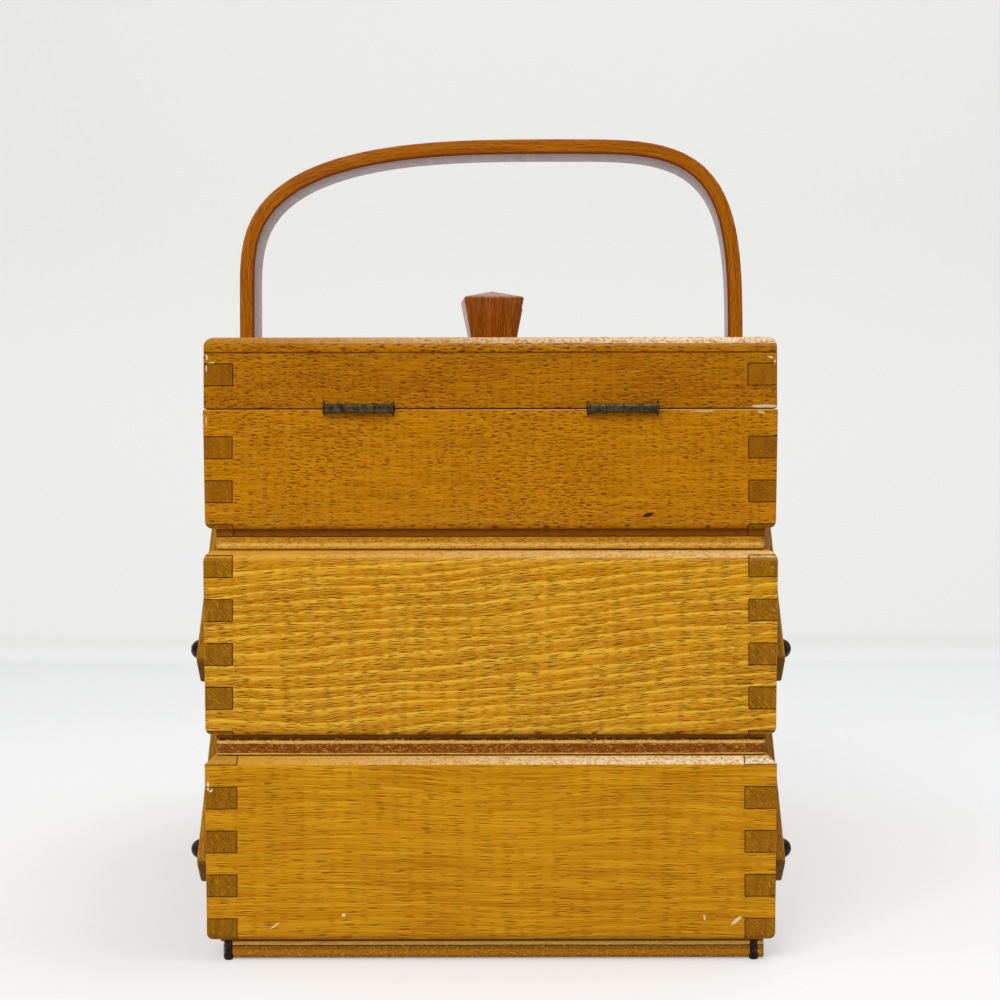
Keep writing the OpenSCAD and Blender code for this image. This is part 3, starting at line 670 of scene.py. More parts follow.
def eased(mesh, name, width, sharp=WOOD_ANGLE, clamp=True):
    """The mesh with its sharp edges rounded. Faces of the rounding get material index 1."""
    for _ in range(2):
        mesh.materials.append(None)
    rough = bpy.data.objects.new("rough", mesh)
    bpy.context.scene.collection.objects.link(rough)
    rounding = rough.modifiers.new("rounding", "BEVEL")
    rounding.limit_method = "ANGLE"
    rounding.angle_limit = math.radians(sharp)
    rounding.width = width
    rounding.segments = 2
    rounding.material = 1
    rounding.harden_normals = True
    rounding.use_clamp_overlap = clamp
    rounding.miter_outer = "MITER_ARC"
    mesh.shade_smooth()
    mesh.set_sharp_from_angle(angle=math.radians(sharp))
    ready = rough.evaluated_get(bpy.context.evaluated_depsgraph_get())
    result = bpy.data.meshes.new_from_object(ready)
    bpy.data.objects.remove(rough)
    bpy.data.meshes.remove(mesh)
    result.name = name
    return result


def per_face(mesh, name, *channels):
    """Stores up to three numbers for each face. The channels left out are 0."""
    values = np.zeros((len(mesh.polygons), 3), np.float32)
    for index, channel in enumerate(channels):
        values[:, index] = channel
    layer = mesh.attributes.new(name, "FLOAT_VECTOR", "FACE")
    layer.data.foreach_set("vector", values.ravel())


def per_point(mesh, name, values):
    """Stores one number, or three, for each point."""
    kind, field = ("FLOAT", "value") if values.ndim == 1 else ("FLOAT_VECTOR", "vector")
    layer = mesh.attributes.new(name, kind, "POINT")
    layer.data.foreach_set(field, values.astype(np.float32).ravel())


def points_of(mesh):
    co = np.empty(len(mesh.vertices) * 3, np.float32)
    mesh.vertices.foreach_get("co", co)
    return co.reshape(-1, 3).astype(float)


def set_grain(mesh, axes):
    """Stores where each point lies along, across and through the grain, in millimetres."""
    per_point(mesh, "grain", points_of(mesh) @ np.array(axes, float).T / MM)


def set_stick(mesh, seed, rise=0.0, tone=1.0):
    """Stores which stretch of wood a board comes from, how far its grain climbs, and its tone.

    Steps of the golden ratio, less its whole part, keep the stretches far apart.
    """
    per_face(mesh, "stick", ((seed + 1) * 0.618) % 1.0, rise, tone)


# Nodes with these endings are metal, so no board meets them in a joint line
METALWORK = ("screws", "glides", "leaves")


def shut_body(node):
    """The body of a node. A lid counts as part of its tray, which it lies on when shut."""
    return body_of(node).replace("_lid", "_top_tray")


def others_of(node):
    """A search tree over the other wooden nodes of the same body, and of a lid and its tray."""
    points, faces = [], []
    for other, thing in NODES.items():
        together = shut_body(other) == shut_body(node)
        if other == node or not together or other.endswith(METALWORK):
            continue
        start = len(points)
        points += [v.co[:] for v in thing.data.vertices]
        faces += [[start + i for i in t.vertices] for t in thing.data.polygons]
    return BVHTree.FromPolygons(points, faces) if faces else None


def face_sides(mesh):
    """Arrays of the normal, the middle and the material index of every face."""
    count = len(mesh.polygons)
    normals, centres = np.empty(count * 3, np.float32), np.empty(count * 3, np.float32)
    index = np.empty(count, np.int32)
    mesh.polygons.foreach_get("normal", normals)
    mesh.polygons.foreach_get("center", centres)
    mesh.polygons.foreach_get("material_index", index)
    mesh.polygons.foreach_set("material_index", np.zeros(count, np.int32))
    return normals.reshape(-1, 3), centres.reshape(-1, 3), index


# A face is end grain where the cosine between its normal and the grain is more than this
END_COSINE = 0.6
# Rims lie in a strip of this height below a board's top
RIM_STRIP = 6 * MM


def set_cut(mesh, node, grain_axis, reach, lip):
    """Marks end grain, joint lines, worn edges, rims and lips, face by face.

    End grain is where a face looks along the grain. A face of the rounding is a joint line
    where another board of the same body is within reach, and a worn edge elsewhere. A rim
    face slopes upward near the board's top and takes a painted highlight; a lip face stands in
    the lowest strip and takes painted shade over a darker stain.
    """
    normals, centres, index = face_sides(mesh)
    facing = np.abs(normals @ np.array(grain_axis, float))
    low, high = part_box(node)
    tree = others_of(node)
    rounded = index == 1
    near = np.zeros(len(index), bool)
    if tree:
        near = np.array([bool(rounded[i]) and tree.find_nearest(c, reach)[0] is not None
                         for i, c in enumerate(centres.tolist())])
    slope = np.clip((normals[:, 2] - 0.1) / 0.35, 0, 1) * (normals[:, 2] < 0.97)
    rim = slope * (centres[:, 2] > high.z - RIM_STRIP) * ~near
    per_face(mesh, "cut", facing > END_COSINE, near, rounded & ~near)
    per_face(mesh, "trim", rim, centres[:, 2] < low.z + lip)


X, Y, Z = (1, 0, 0), (0, 1, 0), (0, 0, 1)


def board(node, material, slot, axes, seed, edge=None, rise=0.0, tone=1.0, lip=0.0):
    """One board, from its CAD node, with eased edges and its own run of grain."""
    shape = looks().shape
    mesh = eased(merged(node), node + "_board", edge or shape.board_edge, clamp=False)
    set_grain(mesh, axes)
    set_stick(mesh, seed, rise, tone)
    set_cut(mesh, node, axes[0], shape.joint_reach, lip)
    return place(node + "_board", mesh, slot, material, node)


# A floor board's face is level where its normal's upright part is more than this
LEVEL_COSINE = 0.9


def floor(node, bands):
    """One plywood floor board. Its plies lie at their heights between its two faces."""
    look, shape = looks().plywood, looks().shape
    tier = node.removeprefix("near_").removeprefix("far_") + "_plies"
    mesh = eased(merged(node), node + "_board", shape.floor_edge, PLY_ANGLE)
    low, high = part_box(node)
    set_grain(mesh, (X, Y, Z))
    per_point(mesh, "level", (points_of(mesh)[:, 2] - low.z) / (high.z - low.z))
    per_face(mesh, "cut", np.abs(face_sides(mesh)[0][:, 2]) < LEVEL_COSINE)
    material = plywood(tier, look, bands)
    return place(node + "_board", mesh, "floor_plywood", material, node)


def grid_faces(rows, columns, closed=True):
    """Quads of a grid of rows by columns, whose columns close round if asked."""
    index = np.arange(rows * columns).reshape(rows, columns)
    nearer, further = index[:-1], index[1:]
    if closed:
        right = np.roll(index, -1, axis=1)
        quads = np.stack([nearer, right[:-1], right[1:], further], axis=-1)
    else:
        quads = np.stack([nearer[:, :-1], nearer[:, 1:], further[:, 1:], further[:, :-1]], -1)
    return quads.reshape(-1, 4)


def mesh_from(name, points, quads, caps=(), grain=None):
    """A smooth mesh from an array of points, an array of quads and a few cap outlines."""
    mesh = bpy.data.meshes.new(name)
    faces = quads.tolist() + [list(c) for c in caps]
    mesh.from_pydata(points.reshape(-1, 3).tolist(), [], faces)
    if grain is not None:
        per_point(mesh, "grain", grain / MM)
    work = bmesh.new()
    work.from_mesh(mesh)
    bmesh.ops.remove_doubles(work, verts=work.verts, dist=1e-7)
    bmesh.ops.recalc_face_normals(work, faces=work.faces)
    work.to_mesh(mesh)
    work.free()
    mesh.shade_smooth()
    mesh.set_sharp_from_angle(angle=math.radians(METAL_ANGLE))
    return mesh


def capped_tube(name, points, grain):
    """A tube of rings of points, closed at both ends. Its rows are rings."""
    rows, columns = points.shape[:2]
    caps = [range(columns), range((rows - 1) * columns, rows * columns)]
    return mesh_from(name, points, grid_faces(rows, columns), caps, grain)


def rounded_box(half_x, half_y, radius, steps=6):
    """Outline of a rectangle with rounded corners: four quarter circles, joined straight."""
    turn = (np.arange(4)[:, None] * 90 + np.linspace(0, 90, steps)[None, :]) * math.pi / 180
    sign_x = np.array([1, -1, -1, 1])[:, None]
    sign_y = np.array([1, 1, -1, -1])[:, None]
    x = sign_x * (half_x - radius) + radius * np.cos(turn)
    y = sign_y * (half_y - radius) + radius * np.sin(turn)
    return np.stack([x.ravel(), y.ravel()], axis=1)


def handle_path(shape, count=150):
    """Outer line of the handle in X and Z, from the left foot over the arch to the right foot.

    Each side of the arch is a quarter of a squared-off oval, |x/a|^n + |z/b|^n = 1, between
    its leg and the peak. The whole line is then cut into equal steps.
    """
    high, low = ARCH_HIGH.z, LEGS_LOW.z
    turn = np.linspace(0, math.pi / 2, 2500)

    def shoulder(reach, spring, square):
        x = shape.peak_x + reach * np.cos(turn) ** (2 / square)
        return x, spring + (high - spring) * np.sin(turn) ** (2 / square)

    left_x, left_z = shoulder(LEGS_LOW.x - shape.peak_x, shape.left_spring, shape.left_square)
    right_x, right_z = shoulder(LEGS_HIGH.x - shape.peak_x, shape.right_spring,
                                shape.right_square)
    x = np.concatenate([[LEGS_LOW.x], left_x, right_x[::-1], [LEGS_HIGH.x]])
    z = np.concatenate([[low], left_z, right_z[::-1], [low]])
    run = np.concatenate([[0], np.cumsum(np.hypot(np.diff(x), np.diff(z)))])
    ease = shape.band_edge
    even = np.unique(np.concatenate([np.linspace(0, run[-1], count),
                                     [ease, run[-1] - ease]]))
    return np.interp(even, run, x), np.interp(even, run, z), even


def handle_mesh(shape):
    """The bent band: a rectangle with rounded edges, carried along the handle's outer line.

    At each step the section reaches from the line inward by the band's thickness. Where the
    band stands up, the section turns a little about the upright and is drawn in a little. The
    section shrinks by the width of its rounding at both ends, which chamfers them.
    """
    x, z, run = handle_path(shape)
    foot = np.minimum(run, run[-1] - run)
    tangent = np.stack([np.gradient(x, run), np.gradient(z, run)], axis=1)
    tangent /= np.linalg.norm(tangent, axis=1)[:, None]
    inward_x, inward_z = tangent[:, 1, None], -tangent[:, 0, None]
    draw_in = np.clip(shape.band_edge - foot, 0, shape.band_edge)
    core = rounded_box(shape.band_t / 2, LEGS_HIGH.y, shape.band_edge)
    inner = rounded_box(shape.band_t / 2 - shape.band_edge, LEGS_HIGH.y - shape.band_edge, 0)
    bend = (core - inner) / shape.band_edge
    reach = shape.band_edge - draw_in
    deep = inner[:, 0] + bend[:, 0] * reach[:, None]
    wide = inner[:, 1] + bend[:, 1] * reach[:, None]
    ramp = np.clip((z - shape.twist_start) / shape.twist_h, 0, 1)
    turned = (tangent[:, 1] ** 2 * ramp)[:, None]
    twist = shape.leg_twist * turned
    off_x = inward_x * deep
    start_x = x[:, None] + inward_x * (shape.band_t / 2 + shape.twist_in * turned)
    points = np.stack([
        start_x + off_x * np.cos(twist) + wide * np.sin(twist),
        wide * np.cos(twist) - off_x * np.sin(twist),
        z[:, None] + inward_z * (deep + shape.band_t / 2),
    ], axis=-1)
    grain = np.stack([np.broadcast_to(run[:, None], deep.shape), wide, deep], axis=-1)
    return capped_tube("handle_band", points, grain)


def knob_mesh(shape, centre, foot_z):
    """A knob: rounded squares stacked up, whose half side follows a line of three corners.

    The line runs from the foot out to the rim and back to the point of the low pyramid, and
    its corner at the rim is rounded with a quadratic curve.
    """
    top, blunt, chamfer = KNOB_HIGH.z - KNOB_LOW.z, 0.1 * MM, 0.4 * MM
    foot, rim, tip = (np.array(p) for p in (
        (shape.knob_foot / 2, 0), (shape.knob_rim / 2, shape.knob_rim_h), (blunt, top)))

    def toward(a, b, reach):
        return a + (b - a) / np.linalg.norm(b - a) * reach

    t = np.linspace(0, 1, 7)[:, None]
    lower, upper = toward(rim, foot, shape.knob_edge), toward(rim, tip, shape.knob_edge * 1.6)
    bend = lower * (1 - t) ** 2 + 2 * rim * t * (1 - t) + upper * t ** 2
    base = [foot - (chamfer, 0), foot + (0, chamfer)]
    near_tip = upper + (tip - upper) * 0.93
    line = np.concatenate([base, toward(foot, rim, 4 * MM)[None], bend, [near_tip, tip]])
    half, level = line[:, 0], line[:, 1]
    corner = np.minimum(shape.knob_edge, half * 0.5)
    unit = rounded_box(1, 1, 0, 8)
    sign = np.sign(unit)
    arc = rounded_box(1, 1, 1, 8)
    flat = sign * (half - corner)[:, None, None] + arc * corner[:, None, None]
    turn = shape.knob_turn
    x = flat[..., 0] * math.cos(turn) - flat[..., 1] * math.sin(turn)
    y = flat[..., 0] * math.sin(turn) + flat[..., 1] * math.cos(turn)
    z = np.broadcast_to(level[:, None], x.shape)
    points = np.stack([x + centre[0], y + centre[1], z + foot_z], axis=-1)
    grain = np.stack([z, x + centre[1], y], axis=-1)
    return capped_tube("knob", points, grain)


def dome_mesh(shape, steps=48):
    """A domed screw head on its shank, standing on Z: a quarter circle turned round the axis.

    A slot is cut across the top of the dome and its edges are eased.
    """
    r, shank, deep = shape.dome_r, 2.0 * MM, 12 * MM
    seat, slot_deep = -0.05 * MM, 1.2 * MM
    rise = np.linspace(0, math.pi / 2, 10)
    line_r = np.concatenate([r * np.sin(rise), [r, shank, shank, 0]])
    line_z = np.concatenate([r * np.cos(rise), [seat, seat, -deep, -deep]])
    turn = np.linspace(0, 2 * math.pi, steps, endpoint=False)
    points = np.stack([
        line_r[:, None] * np.cos(turn), line_r[:, None] * np.sin(turn),
        np.broadcast_to(line_z[:, None], (len(line_r), steps)),
    ], axis=-1)
    mesh = mesh_from("dome", points, grid_faces(len(line_r), steps))
    return slotted(mesh, shape.slot_w, r - slot_deep, r)


def slotted(mesh, width, low, high):
    """The mesh with a slot of that width cut across it along X, down to the height low."""
    x, y = 20 * MM, width / 2
    corners = np.array([(a, b, c) for c in (low, high + x) for a, b in
                        ((-x, -y), (x, -y), (x, y), (-x, y))])
    sides = [(0, 1, 5, 4), (1, 2, 6, 5), (2, 3, 7, 6), (3, 0, 4, 7), (3, 2, 1, 0), (4, 5, 6, 7)]
    tool = bpy.data.meshes.new("slot")
    tool.from_pydata(corners.tolist(), [], sides)
    objects = [bpy.data.objects.new("cut", m) for m in (mesh, tool)]
    for thing in objects:
        bpy.context.scene.collection.objects.link(thing)
    cut = objects[0].modifiers.new("slot", "BOOLEAN")
    cut.object, cut.operation, cut.solver = objects[1], "DIFFERENCE", "EXACT"
    bpy.context.view_layer.update()
    ready = objects[0].evaluated_get(bpy.context.evaluated_depsgraph_get())
    result = bpy.data.meshes.new_from_object(ready)
    for thing in objects:
        bpy.data.objects.remove(thing)
    return eased(result, "slotted", looks().shape.metal_edge, METAL_ANGLE)


def islands(node):
    """Boxes of the separate solids of a CAD node: a list of (low, high) arrays."""
    mesh = merged(node)
    work = bmesh.new()
    work.from_mesh(mesh)
    left, found = set(work.verts), []
    while left:
        group, front = set(), [left.pop()]
        while front:
            vert = front.pop()
            group.add(vert)
            fresh = [e.other_vert(vert) for e in vert.link_edges]
            fresh = [v for v in fresh if v in left]
            left.difference_update(fresh)
            front += fresh
        co = np.array([v.co for v in group])
        found.append((co.min(0), co.max(0)))
    work.free()
    bpy.data.meshes.remove(mesh)
    return found


def copies(name, mesh, frames):
    """One mesh of many copies of another, each moved by its own 4 by 4 array."""
    points = np.c_[points_of(mesh), np.ones(len(mesh.vertices))]
    faces = [list(p.vertices) for p in mesh.polygons]
    moved = np.einsum("kij,nj->kni", np.array(frames, float), points)[..., :3]
    many = [[i + k * len(points) for i in face] for k in range(len(frames)) for face in faces]
    result = bpy.data.meshes.new(name)
    result.from_pydata(moved.reshape(-1, 3).tolist(), [], many)
    result.shade_smooth()
    result.set_sharp_from_angle(angle=math.radians(METAL_ANGLE))
    return result


def outward_frame(side, y, z, x, turn):
    """Frame of a screw that looks out through one side of the carrier, with its slot turned."""
    spin = Matrix.Rotation(turn, 4, "Z")
    face = Matrix.Rotation(side * math.pi / 2, 4, "Y")
    return np.array(Matrix.Translation((side * x, y, z)) @ face @ spin)


def metalwork(name, node, mesh=None, slot="black_steel", material=None):
    """The metalwork of a CAD node, or the part of it that is given, with its edges eased."""
    mesh = eased(mesh or merged(node), name, looks().shape.metal_edge, METAL_ANGLE)
    return place(name, mesh, slot, material or steel(), node)


# Slots of neighbouring screws differ by the golden angle, so that no two are alike
GOLDEN_TURN = math.pi * (3 - math.sqrt(5))
# Pivot screws reach further out than this, walls stand further out than this, and the
# handle's screws lie closer to the middle than this
PIVOT_X, WALL_X, HANDLE_Y = 120 * MM, 100 * MM, 20 * MM


def domed_screws(node, first):
    """The domed pivot screws of one node, each with its slot turned another way."""
    shape = looks().shape
    ends = [(low, high) for low, high in islands(node)
            if max(abs(low[0]), high[0]) > PIVOT_X and abs(low[1] + high[1]) / 2 > HANDLE_Y]
    head_x = max(high[0] for low, high in ends) - shape.dome_r
    frames = [
        outward_frame(np.sign(low[0] + high[0]), (low[1] + high[1]) / 2,
                      (low[2] + high[2]) / 2, head_x, (first + k) * GOLDEN_TURN)
        for k, (low, high) in enumerate(sorted(ends, key=lambda e: tuple(e[0].round(4))))
    ]
    name = node.replace("_pivot", "").replace("_screws", "_pivots")
    mesh = copies(name, dome_mesh(shape), frames)
    return place(name, mesh, "black_steel", steel(), node)


def flat_screws(node):
    """The countersunk screws of a node, without its domed pivot screws."""
    work = bmesh.new()
    mesh = merged(node)
    work.from_mesh(mesh)
    gone = [v for v in work.verts if abs(v.co.x) > WALL_X and abs(v.co.y) > HANDLE_Y]
    bmesh.ops.delete(work, geom=gone, context="VERTS")
    work.to_mesh(mesh)
    work.free()
    return metalwork(node + "_flat", node, mesh)


BOX = ("near_end", "far_end", "left_side", "right_side")
TRAY = ("outer_end", "inner_end", "left_side", "right_side")
RAILS = ("outer_rail", "inner_rail", "left_rail", "right_rail")


def boards_of(prefix, parts, material, seed, rise=0.0, lip=0.0):
    """The four boards of one tray or box, its ends before its sides.

    Ends have their grain across the carrier, sides along it. The first board is the one that
    shows most, and the tones of the others differ from it a little.
    """
    for index, part in enumerate(parts):
        node = f"{prefix}_{part}"
        across = index < 2
        axes = (X, Z, Y) if across else (Y, Z, X)
        tone = 1 + 0.05 * math.sin(2.4 * (seed + index)) if index else 1.0
        board(node, material, "lacquered_beech", axes, seed + index,
              rise=rise if across else 0.0, tone=tone, lip=lip)


# Worn spots on the near face: x, z, length, height in millimetres, turn, pale or dark
BASE_MARKS = (
    (-61.4, 19.7, 1.8, 1.4, 0.2, True), (-90.1, 15.2, 5, 0.7, 0.6, True),
    (88.9, 18.5, 0.9, 2.4, 0.1, True), (102.2, 17.2, 6, 1.6, 0.7, True),
    (-117.8, 73.5, 1.2, 4.5, 0.0, True), (-116.6, 71.5, 2.0, 1.0, 0.5, True),
)
TOP_MARKS = (
    (88.5, 229.3, 11, 0.8, 0.02, True), (112.6, 229.0, 3.6, 1.4, -0.3, True),
    (65.6, 186.2, 4.6, 1.9, 0.25, False), (-118.3, 225.6, 0.8, 4, 0.0, True),
)
LID_MARKS = (
    (114.2, 231.4, 12, 1.5, 0.0, True), (-118.0, 252.0, 1.2, 2.4, 0.2, True),
    (-116.0, 249.6, 3.0, 0.9, 0.1, True), (-118.2, 247.4, 0.7, 3.0, 0.0, True),
    (116.6, 251.8, 2.6, 0.9, -0.3, True), (118.4, 249.8, 0.8, 2.6, 0.0, True),
)
# Painted shade at the ends of the kerfs that the hinge leaves stand in: dark spots where the
# slots open
KERF_SHADE = tuple((x, 230.5, 1.3, 7.6, 0.0, False) for x in (-69.2, -40.4, 40.6, 69.7))


class CARRIER_OT_base_box(bpy.types.Operator):
    """Builds the base box and its floor board"""
    bl_idname = "carrier.base_box"
    bl_label = "Base box"

    def execute(self, context):
        look = looks()
        ply = look.plywood
        boards_of("base", BOX, wood("base_beech", look.base, BASE_MARKS), 0, -0.01,
                  look.shape.base_lip)
        bands = [(0, ply.line), (0.03, ply.olive), (0.17, ply.olive), (0.20, ply.glow),
                 (0.48, ply.glow), (0.51, ply.olive), (0.69, ply.olive), (0.72, ply.line),
                 (0.76, ply.line), (0.79, ply.veneer)]
        floor("base_floor", bands)
        return {"FINISHED"}


class CARRIER_OT_middle_trays(bpy.types.Operator):
    """Builds the two middle trays with their floors and dividers"""
    bl_idname = "carrier.middle_trays"
    bl_label = "Middle trays"

    def execute(self, context):
        look = looks()
        ply = look.plywood
        bands = [(0, ply.veneer), (0.10, ply.veneer), (0.13, ply.core), (0.65, ply.core),
                 (0.69, ply.veneer), (0.83, ply.veneer), (0.87, ply.line)]
        for half, name in enumerate(HALVES):
            boards_of(f"{name}_mid", TRAY, wood("mid_beech", look.mid), 10 + 10 * half,
                      0.078, look.shape.mid_lip)
            floor(f"{name}_mid_floor", bands)
            node = f"{name}_mid_divider"
            board(node, wood("inner_beech", look.inner), "plain_beech", (X, Z, Y), 17 + half)
        return {"FINISHED"}


class CARRIER_OT_top_trays(bpy.types.Operator):
    """Builds the two top trays with their floors"""
    bl_idname = "carrier.top_trays"
    bl_label = "Top trays"

    def execute(self, context):
        look = looks()
        ply = look.plywood
        bands = [(0, ply.line), (0.03, ply.line), (0.06, ply.face), (0.40, ply.veneer),
                 (0.60, ply.face), (0.95, ply.face), (0.98, ply.line)]
        for half, name in enumerate(HALVES):
            boards_of(f"{name}_top", TRAY, wood("top_beech", look.top, TOP_MARKS + KERF_SHADE),
                      30 + 10 * half, 0.0, look.shape.top_lip)
            floor(f"{name}_top_floor", bands)
        return {"FINISHED"}


class CARRIER_OT_lids(bpy.types.Operator):
    """Builds the two lids: four rails and a panel each"""
    bl_idname = "carrier.lids"
    bl_label = "Lids"

    def execute(self, context):
        look = looks()
        material = wood("lid_beech", look.lid, LID_MARKS + KERF_SHADE)
        for half, name in enumerate(HALVES):
            boards_of(f"{name}_lid", RAILS, material, 50 + 10 * half)
            board(f"{name}_lid_panel", material, "lacquered_beech", (X, Y, Z), 55 + 10 * half,
                  look.shape.lid_edge)
        return {"FINISHED"}


class CARRIER_OT_arms(bpy.types.Operator):
    """Builds the swing arms on both sides"""
    bl_idname = "carrier.arms"
    bl_label = "Arms"

    def execute(self, context):
        look = looks()
        material = wood("arm_wood", look.arm)
        long_low, long_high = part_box("near_long_arms")
        lower_low, lower_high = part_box("near_lower_arms")
        run = (long_high.y - long_low.y) - (lower_high.y - lower_low.y)
        climb = (long_high.z - long_low.z) - (lower_high.z - lower_low.z)
        tilt = math.atan2(climb, run)
        for half, name in enumerate(HALVES):
            lean = tilt if name == "near" else math.pi - tilt
            along = (0, math.cos(lean), math.sin(lean))
            across = (0, -math.sin(lean), math.cos(lean))
            for index, kind in enumerate(("long", "lower", "upper")):
                board(f"{name}_{kind}_arms", material, "arm_beech", (along, across, X),
                      70 + 4 * half + index, look.shape.arm_edge)
        return {"FINISHED"}


class CARRIER_OT_handle(bpy.types.Operator):
    """Bends the handle's band over the carrier"""
    bl_idname = "carrier.handle"
    bl_label = "Handle"

    def execute(self, context):
        look = looks()
        mesh = handle_mesh(look.shape)
        plain_marks(mesh, 90)
        place("handle_band", mesh, "bent_beech", wood("bent_band", look.bent),
              "handle_legs", "handle_arch")
        board("handle_packers", wood("base_beech", look.base, BASE_MARKS), "lacquered_beech",
              (Z, Y, X), 92)
        return {"FINISHED"}


class CARRIER_OT_knobs(bpy.types.Operator):
    """Builds the two knobs"""
    bl_idname = "carrier.knobs"
    bl_label = "Knobs"

    def execute(self, context):
        look = looks()
        for name, side in zip(HALVES, (-1, 1)):
            mesh = knob_mesh(look.shape, (0, side * look.shape.knob_inset), KNOB_LOW.z)
            plain_marks(mesh, 94 + side)
            place(f"{name}_knob", mesh, "dark_knob_wood", wood("knob_wood", look.knob),
                  f"{name}_lid_knob")
        return {"FINISHED"}


class CARRIER_OT_screws(bpy.types.Operator):
    """Sets the pivot screws, the handle screws and the small screws of the lids"""
    bl_idname = "carrier.screws"
    bl_label = "Screws and glides"

    def execute(self, context):
        domed_screws("base_screws", 0)
        flat_screws("base_screws")
        for half, name in enumerate(HALVES):
            domed_screws(f"{name}_mid_pivot_screws", 10 + 20 * half)
            domed_screws(f"{name}_top_screws", 20 + 20 * half)
            flat_screws(f"{name}_top_screws")
            metalwork(f"{name}_lid_screws_set", f"{name}_lid_screws")
        metalwork("base_glides_set", "base_glides")
        return {"FINISHED"}


class CARRIER_OT_hinges(bpy.types.Operator):
    """Fits the lid hinges with their pins"""
    bl_idname = "carrier.hinges"
    bl_label = "Lid hinges"

    def execute(self, context):
        for name in HALVES:
            for tier in ("top", "lid"):
                metalwork(f"{name}_{tier}_hinges", f"{name}_{tier}_hinge_leaves",
                          slot="aged_brass", material=brass())
        return {"FINISHED"}


def plain_marks(mesh, seed):
    """Long grain all over, with no joint lines: what a piece of one stick of wood has."""
    per_face(mesh, "cut")
    per_face(mesh, "trim")
    set_stick(mesh, seed)


def paper(stage):
    """Pale paper for the floor and the wall.

    It throws back a share of the light, so it takes the carrier's shadow, and adds a glow
    that only the camera and reflections see. The floor near the camera, which stands in a
    dark room, shows no glow in reflections. A camera behind the wall looks through its back.
    """
    p = new_paint("floor_paper")
    at = p.spot()
    path = p.node("ShaderNodeLightPath", output="Is Camera Ray")
    glossy, through = [Field(p, path.socket.node.outputs[name])
                       for name in ("Is Glossy Ray", "Is Transmission Ray")]
    mirrored = glossy.maths("MAXIMUM", through) * at[1].rise(-700, -500)
    sight = path.maths("MAXIMUM", mirrored)
    glow = p.mix(at[2].rise(0, 40), stage.floor_glow, stage.wall_glow)
    glow = p.mix(at[2].rise(250, 560), glow, stage.high_glow)
    cloud = p.grains(at, (300, 300, 300), 1.0)
    shade = p.mix(cloud * 0.03, (stage.paper,) * 3, (0, 0, 0))
    behind = p.node("ShaderNodeNewGeometry", output="Backfacing")
    return p.surface(behind * path, base_color=shade, roughness=0.9, specular_ior_level=0.1,
                     emission_color=p.mix(sight, (0, 0, 0), glow), emission_strength=1.0)


def sky(stage):
    """A world whose light grows from the horizon to the zenith, dark behind the camera.

    The camera itself sees it as pale as the wall.
    """
    p = Paint(bpy.data.worlds.new("studio"))
    y, z = p.split(p.node("ShaderNodeTexCoord", output="Object"))[1:]
    level = p.mix(y.rise(-0.5, 0.3), (stage.room,) * 3, (stage.horizon,) * 3)
    shade = p.mix(z.rise(0.1, 0.9), level, (stage.zenith,) * 3)
    seen = p.node("ShaderNodeLightPath", output="Is Camera Ray")
    shade = p.mix(seen, shade, (stage.backdrop,) * 3)
    return p.end("ShaderNodeOutputWorld", p.node("ShaderNodeBackground", None, [shade]))


def lamp(name, size, radiance, at, target, glossy=True):
    """A square softbox of that size whose face has that radiance."""
    data = bpy.data.lights.new(name, "AREA")
    data.shape, data.size = "SQUARE", size
    data.energy = radiance * size * size * math.pi
    thing = bpy.data.objects.new(name, data)
    thing.location = at
    thing.rotation_mode = "QUATERNION"
    thing.rotation_quaternion = (Vector(target) - Vector(at)).to_track_quat("-Z", "Y")
    thing.visible_glossy = glossy
    thing.visible_camera = False
    bpy.context.scene.collection.objects.link(thing)
    return thing


def sheet(wall_y, reach=6.0, top=5.0, cove=0.02):
    """Floor and wall in one sheet: two straight lines joined by a quarter circle, drawn wide."""
    turn = np.linspace(0, math.pi / 2, 9)
    y = np.concatenate([[-reach], wall_y - cove + cove * np.sin(turn), [wall_y]])[:, None]
    z = np.concatenate([[0], cove - cove * np.cos(turn), [top]])[:, None]
    x = np.array([[-reach, reach]])
    points = np.stack(np.broadcast_arrays(x, y, z), axis=-1)
    mesh = mesh_from("floor", points, grid_faces(len(y), 2, closed=False))
    if mesh.polygons[0].normal.z < 0:
        mesh.flip_normals()
    return mesh


# Width of the camera's sensor in millimetres, and of the picture in pixels
SENSOR, PICTURE = 36, 1000


def camera_of(stage):
    """The camera at its place, turned by its yaw, its pitch and its roll."""
    camera = bpy.data.objects.new("camera", bpy.data.cameras.new("camera"))
    camera.data.sensor_fit = "HORIZONTAL"
    camera.data.sensor_width = SENSOR
    camera.data.lens = SENSOR * stage.focal / PICTURE
    yaw, pitch, roll = stage.camera_yaw, stage.camera_pitch, stage.camera_roll
    ahead = Vector((math.sin(yaw) * math.cos(pitch), math.cos(yaw) * math.cos(pitch),
                    math.sin(pitch)))
    level = Vector((math.cos(yaw), -math.sin(yaw), 0))
    right = level * math.cos(roll) + level.cross(ahead) * math.sin(roll)
    axes = Matrix((right, right.cross(ahead), -ahead)).transposed()
    camera.matrix_world = Matrix.Translation(stage.camera_at) @ axes.to_4x4()
    return camera


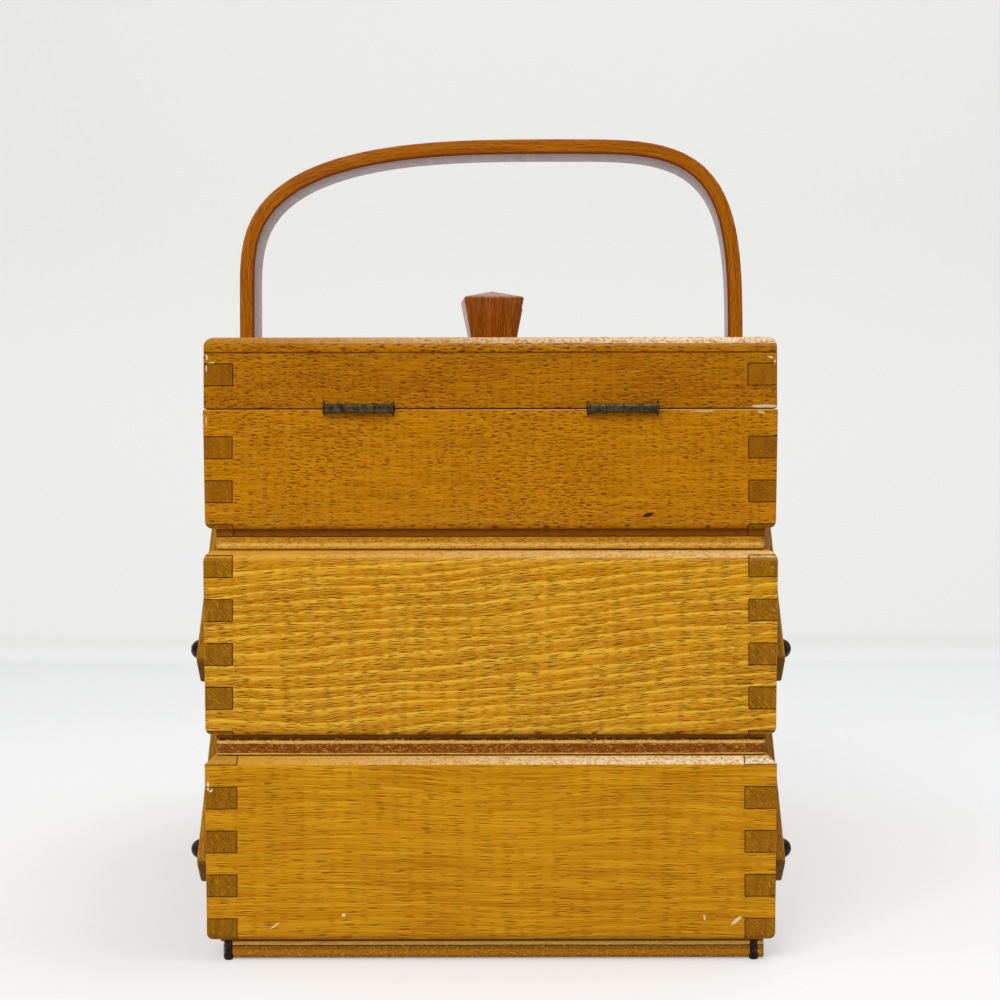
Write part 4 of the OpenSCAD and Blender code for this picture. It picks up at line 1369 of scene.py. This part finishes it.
class CARRIER_OT_stage(bpy.types.Operator):
    """Sets the floor, the wall, the lamps and the camera"""
    bl_idname = "carrier.stage"
    bl_label = "Stage"

    def execute(self, context):
        stage, scene = looks().stage, context.scene
        mesh = sheet(stage.wall_y)
        mesh.materials.append(paper(stage))
        ground = bpy.data.objects.new("floor", mesh)
        scene.collection.objects.link(ground)
        scene.world = sky(stage)
        aim = (0, 0, 0.1)
        lamp("overhead", 0.55, stage.overhead, (0.3, -0.1, 1.5), aim)
        lamp("front_fill", 1.5, stage.front, (-0.8, -2.2, 1.6), aim, glossy=False)
        lamp("rear_fill", 0.9, stage.rear, (0.4, 1.0, 1.6), aim, glossy=False)
        scene.view_settings.view_transform = "Standard"
        scene.camera = camera_of(stage)
        scene.collection.objects.link(scene.camera)
        return {"FINISHED"}


class CARRIER_PG_all(bpy.types.PropertyGroup):
    """All the settings of the carrier"""
    shape: PointerProperty(type=CARRIER_PG_shape)
    plywood: PointerProperty(type=CARRIER_PG_plywood)
    metal: PointerProperty(type=CARRIER_PG_metal)
    stage: PointerProperty(type=CARRIER_PG_stage)
    lid: PointerProperty(type=LidWood)
    top: PointerProperty(type=TopWood)
    mid: PointerProperty(type=MidWood)
    base: PointerProperty(type=BaseWood)
    bent: PointerProperty(type=BentWood)
    arm: PointerProperty(type=ArmWood)
    inner: PointerProperty(type=InnerWood)
    knob: PointerProperty(type=KnobWood)


BUILDERS = (
    CARRIER_OT_stage, CARRIER_OT_base_box, CARRIER_OT_middle_trays, CARRIER_OT_top_trays,
    CARRIER_OT_lids, CARRIER_OT_arms, CARRIER_OT_handle, CARRIER_OT_knobs,
    CARRIER_OT_screws, CARRIER_OT_hinges,
)


class CARRIER_PT_panel(bpy.types.Panel):
    """Lists the carrier's builders"""
    bl_label = "Sewing carrier"
    bl_space_type = "VIEW_3D"
    bl_region_type = "UI"
    bl_category = "Carrier"

    def draw(self, context):
        for builder in BUILDERS:
            self.layout.operator(builder.bl_idname)


CLASSES = (
    CARRIER_PG_shape, CARRIER_PG_plywood, CARRIER_PG_metal, CARRIER_PG_stage,
    LidWood, TopWood, MidWood, BaseWood, BentWood, ArmWood, InnerWood, KnobWood,
    CARRIER_PG_all, *BUILDERS, CARRIER_PT_panel,
)


def register():
    for cls in CLASSES:
        bpy.utils.register_class(cls)
    bpy.types.Scene.carrier = PointerProperty(type=CARRIER_PG_all)


def unregister():
    del bpy.types.Scene.carrier
    for cls in reversed(CLASSES):
        bpy.utils.unregister_class(cls)


def main():
    register()
    bpy.ops.carrier.stage()
    bpy.ops.carrier.base_box()
    bpy.ops.carrier.middle_trays()
    bpy.ops.carrier.top_trays()
    bpy.ops.carrier.lids()
    bpy.ops.carrier.arms()
    bpy.ops.carrier.handle()
    bpy.ops.carrier.knobs()
    bpy.ops.carrier.screws()
    bpy.ops.carrier.hinges()


if __name__ == "__main__":
    main()
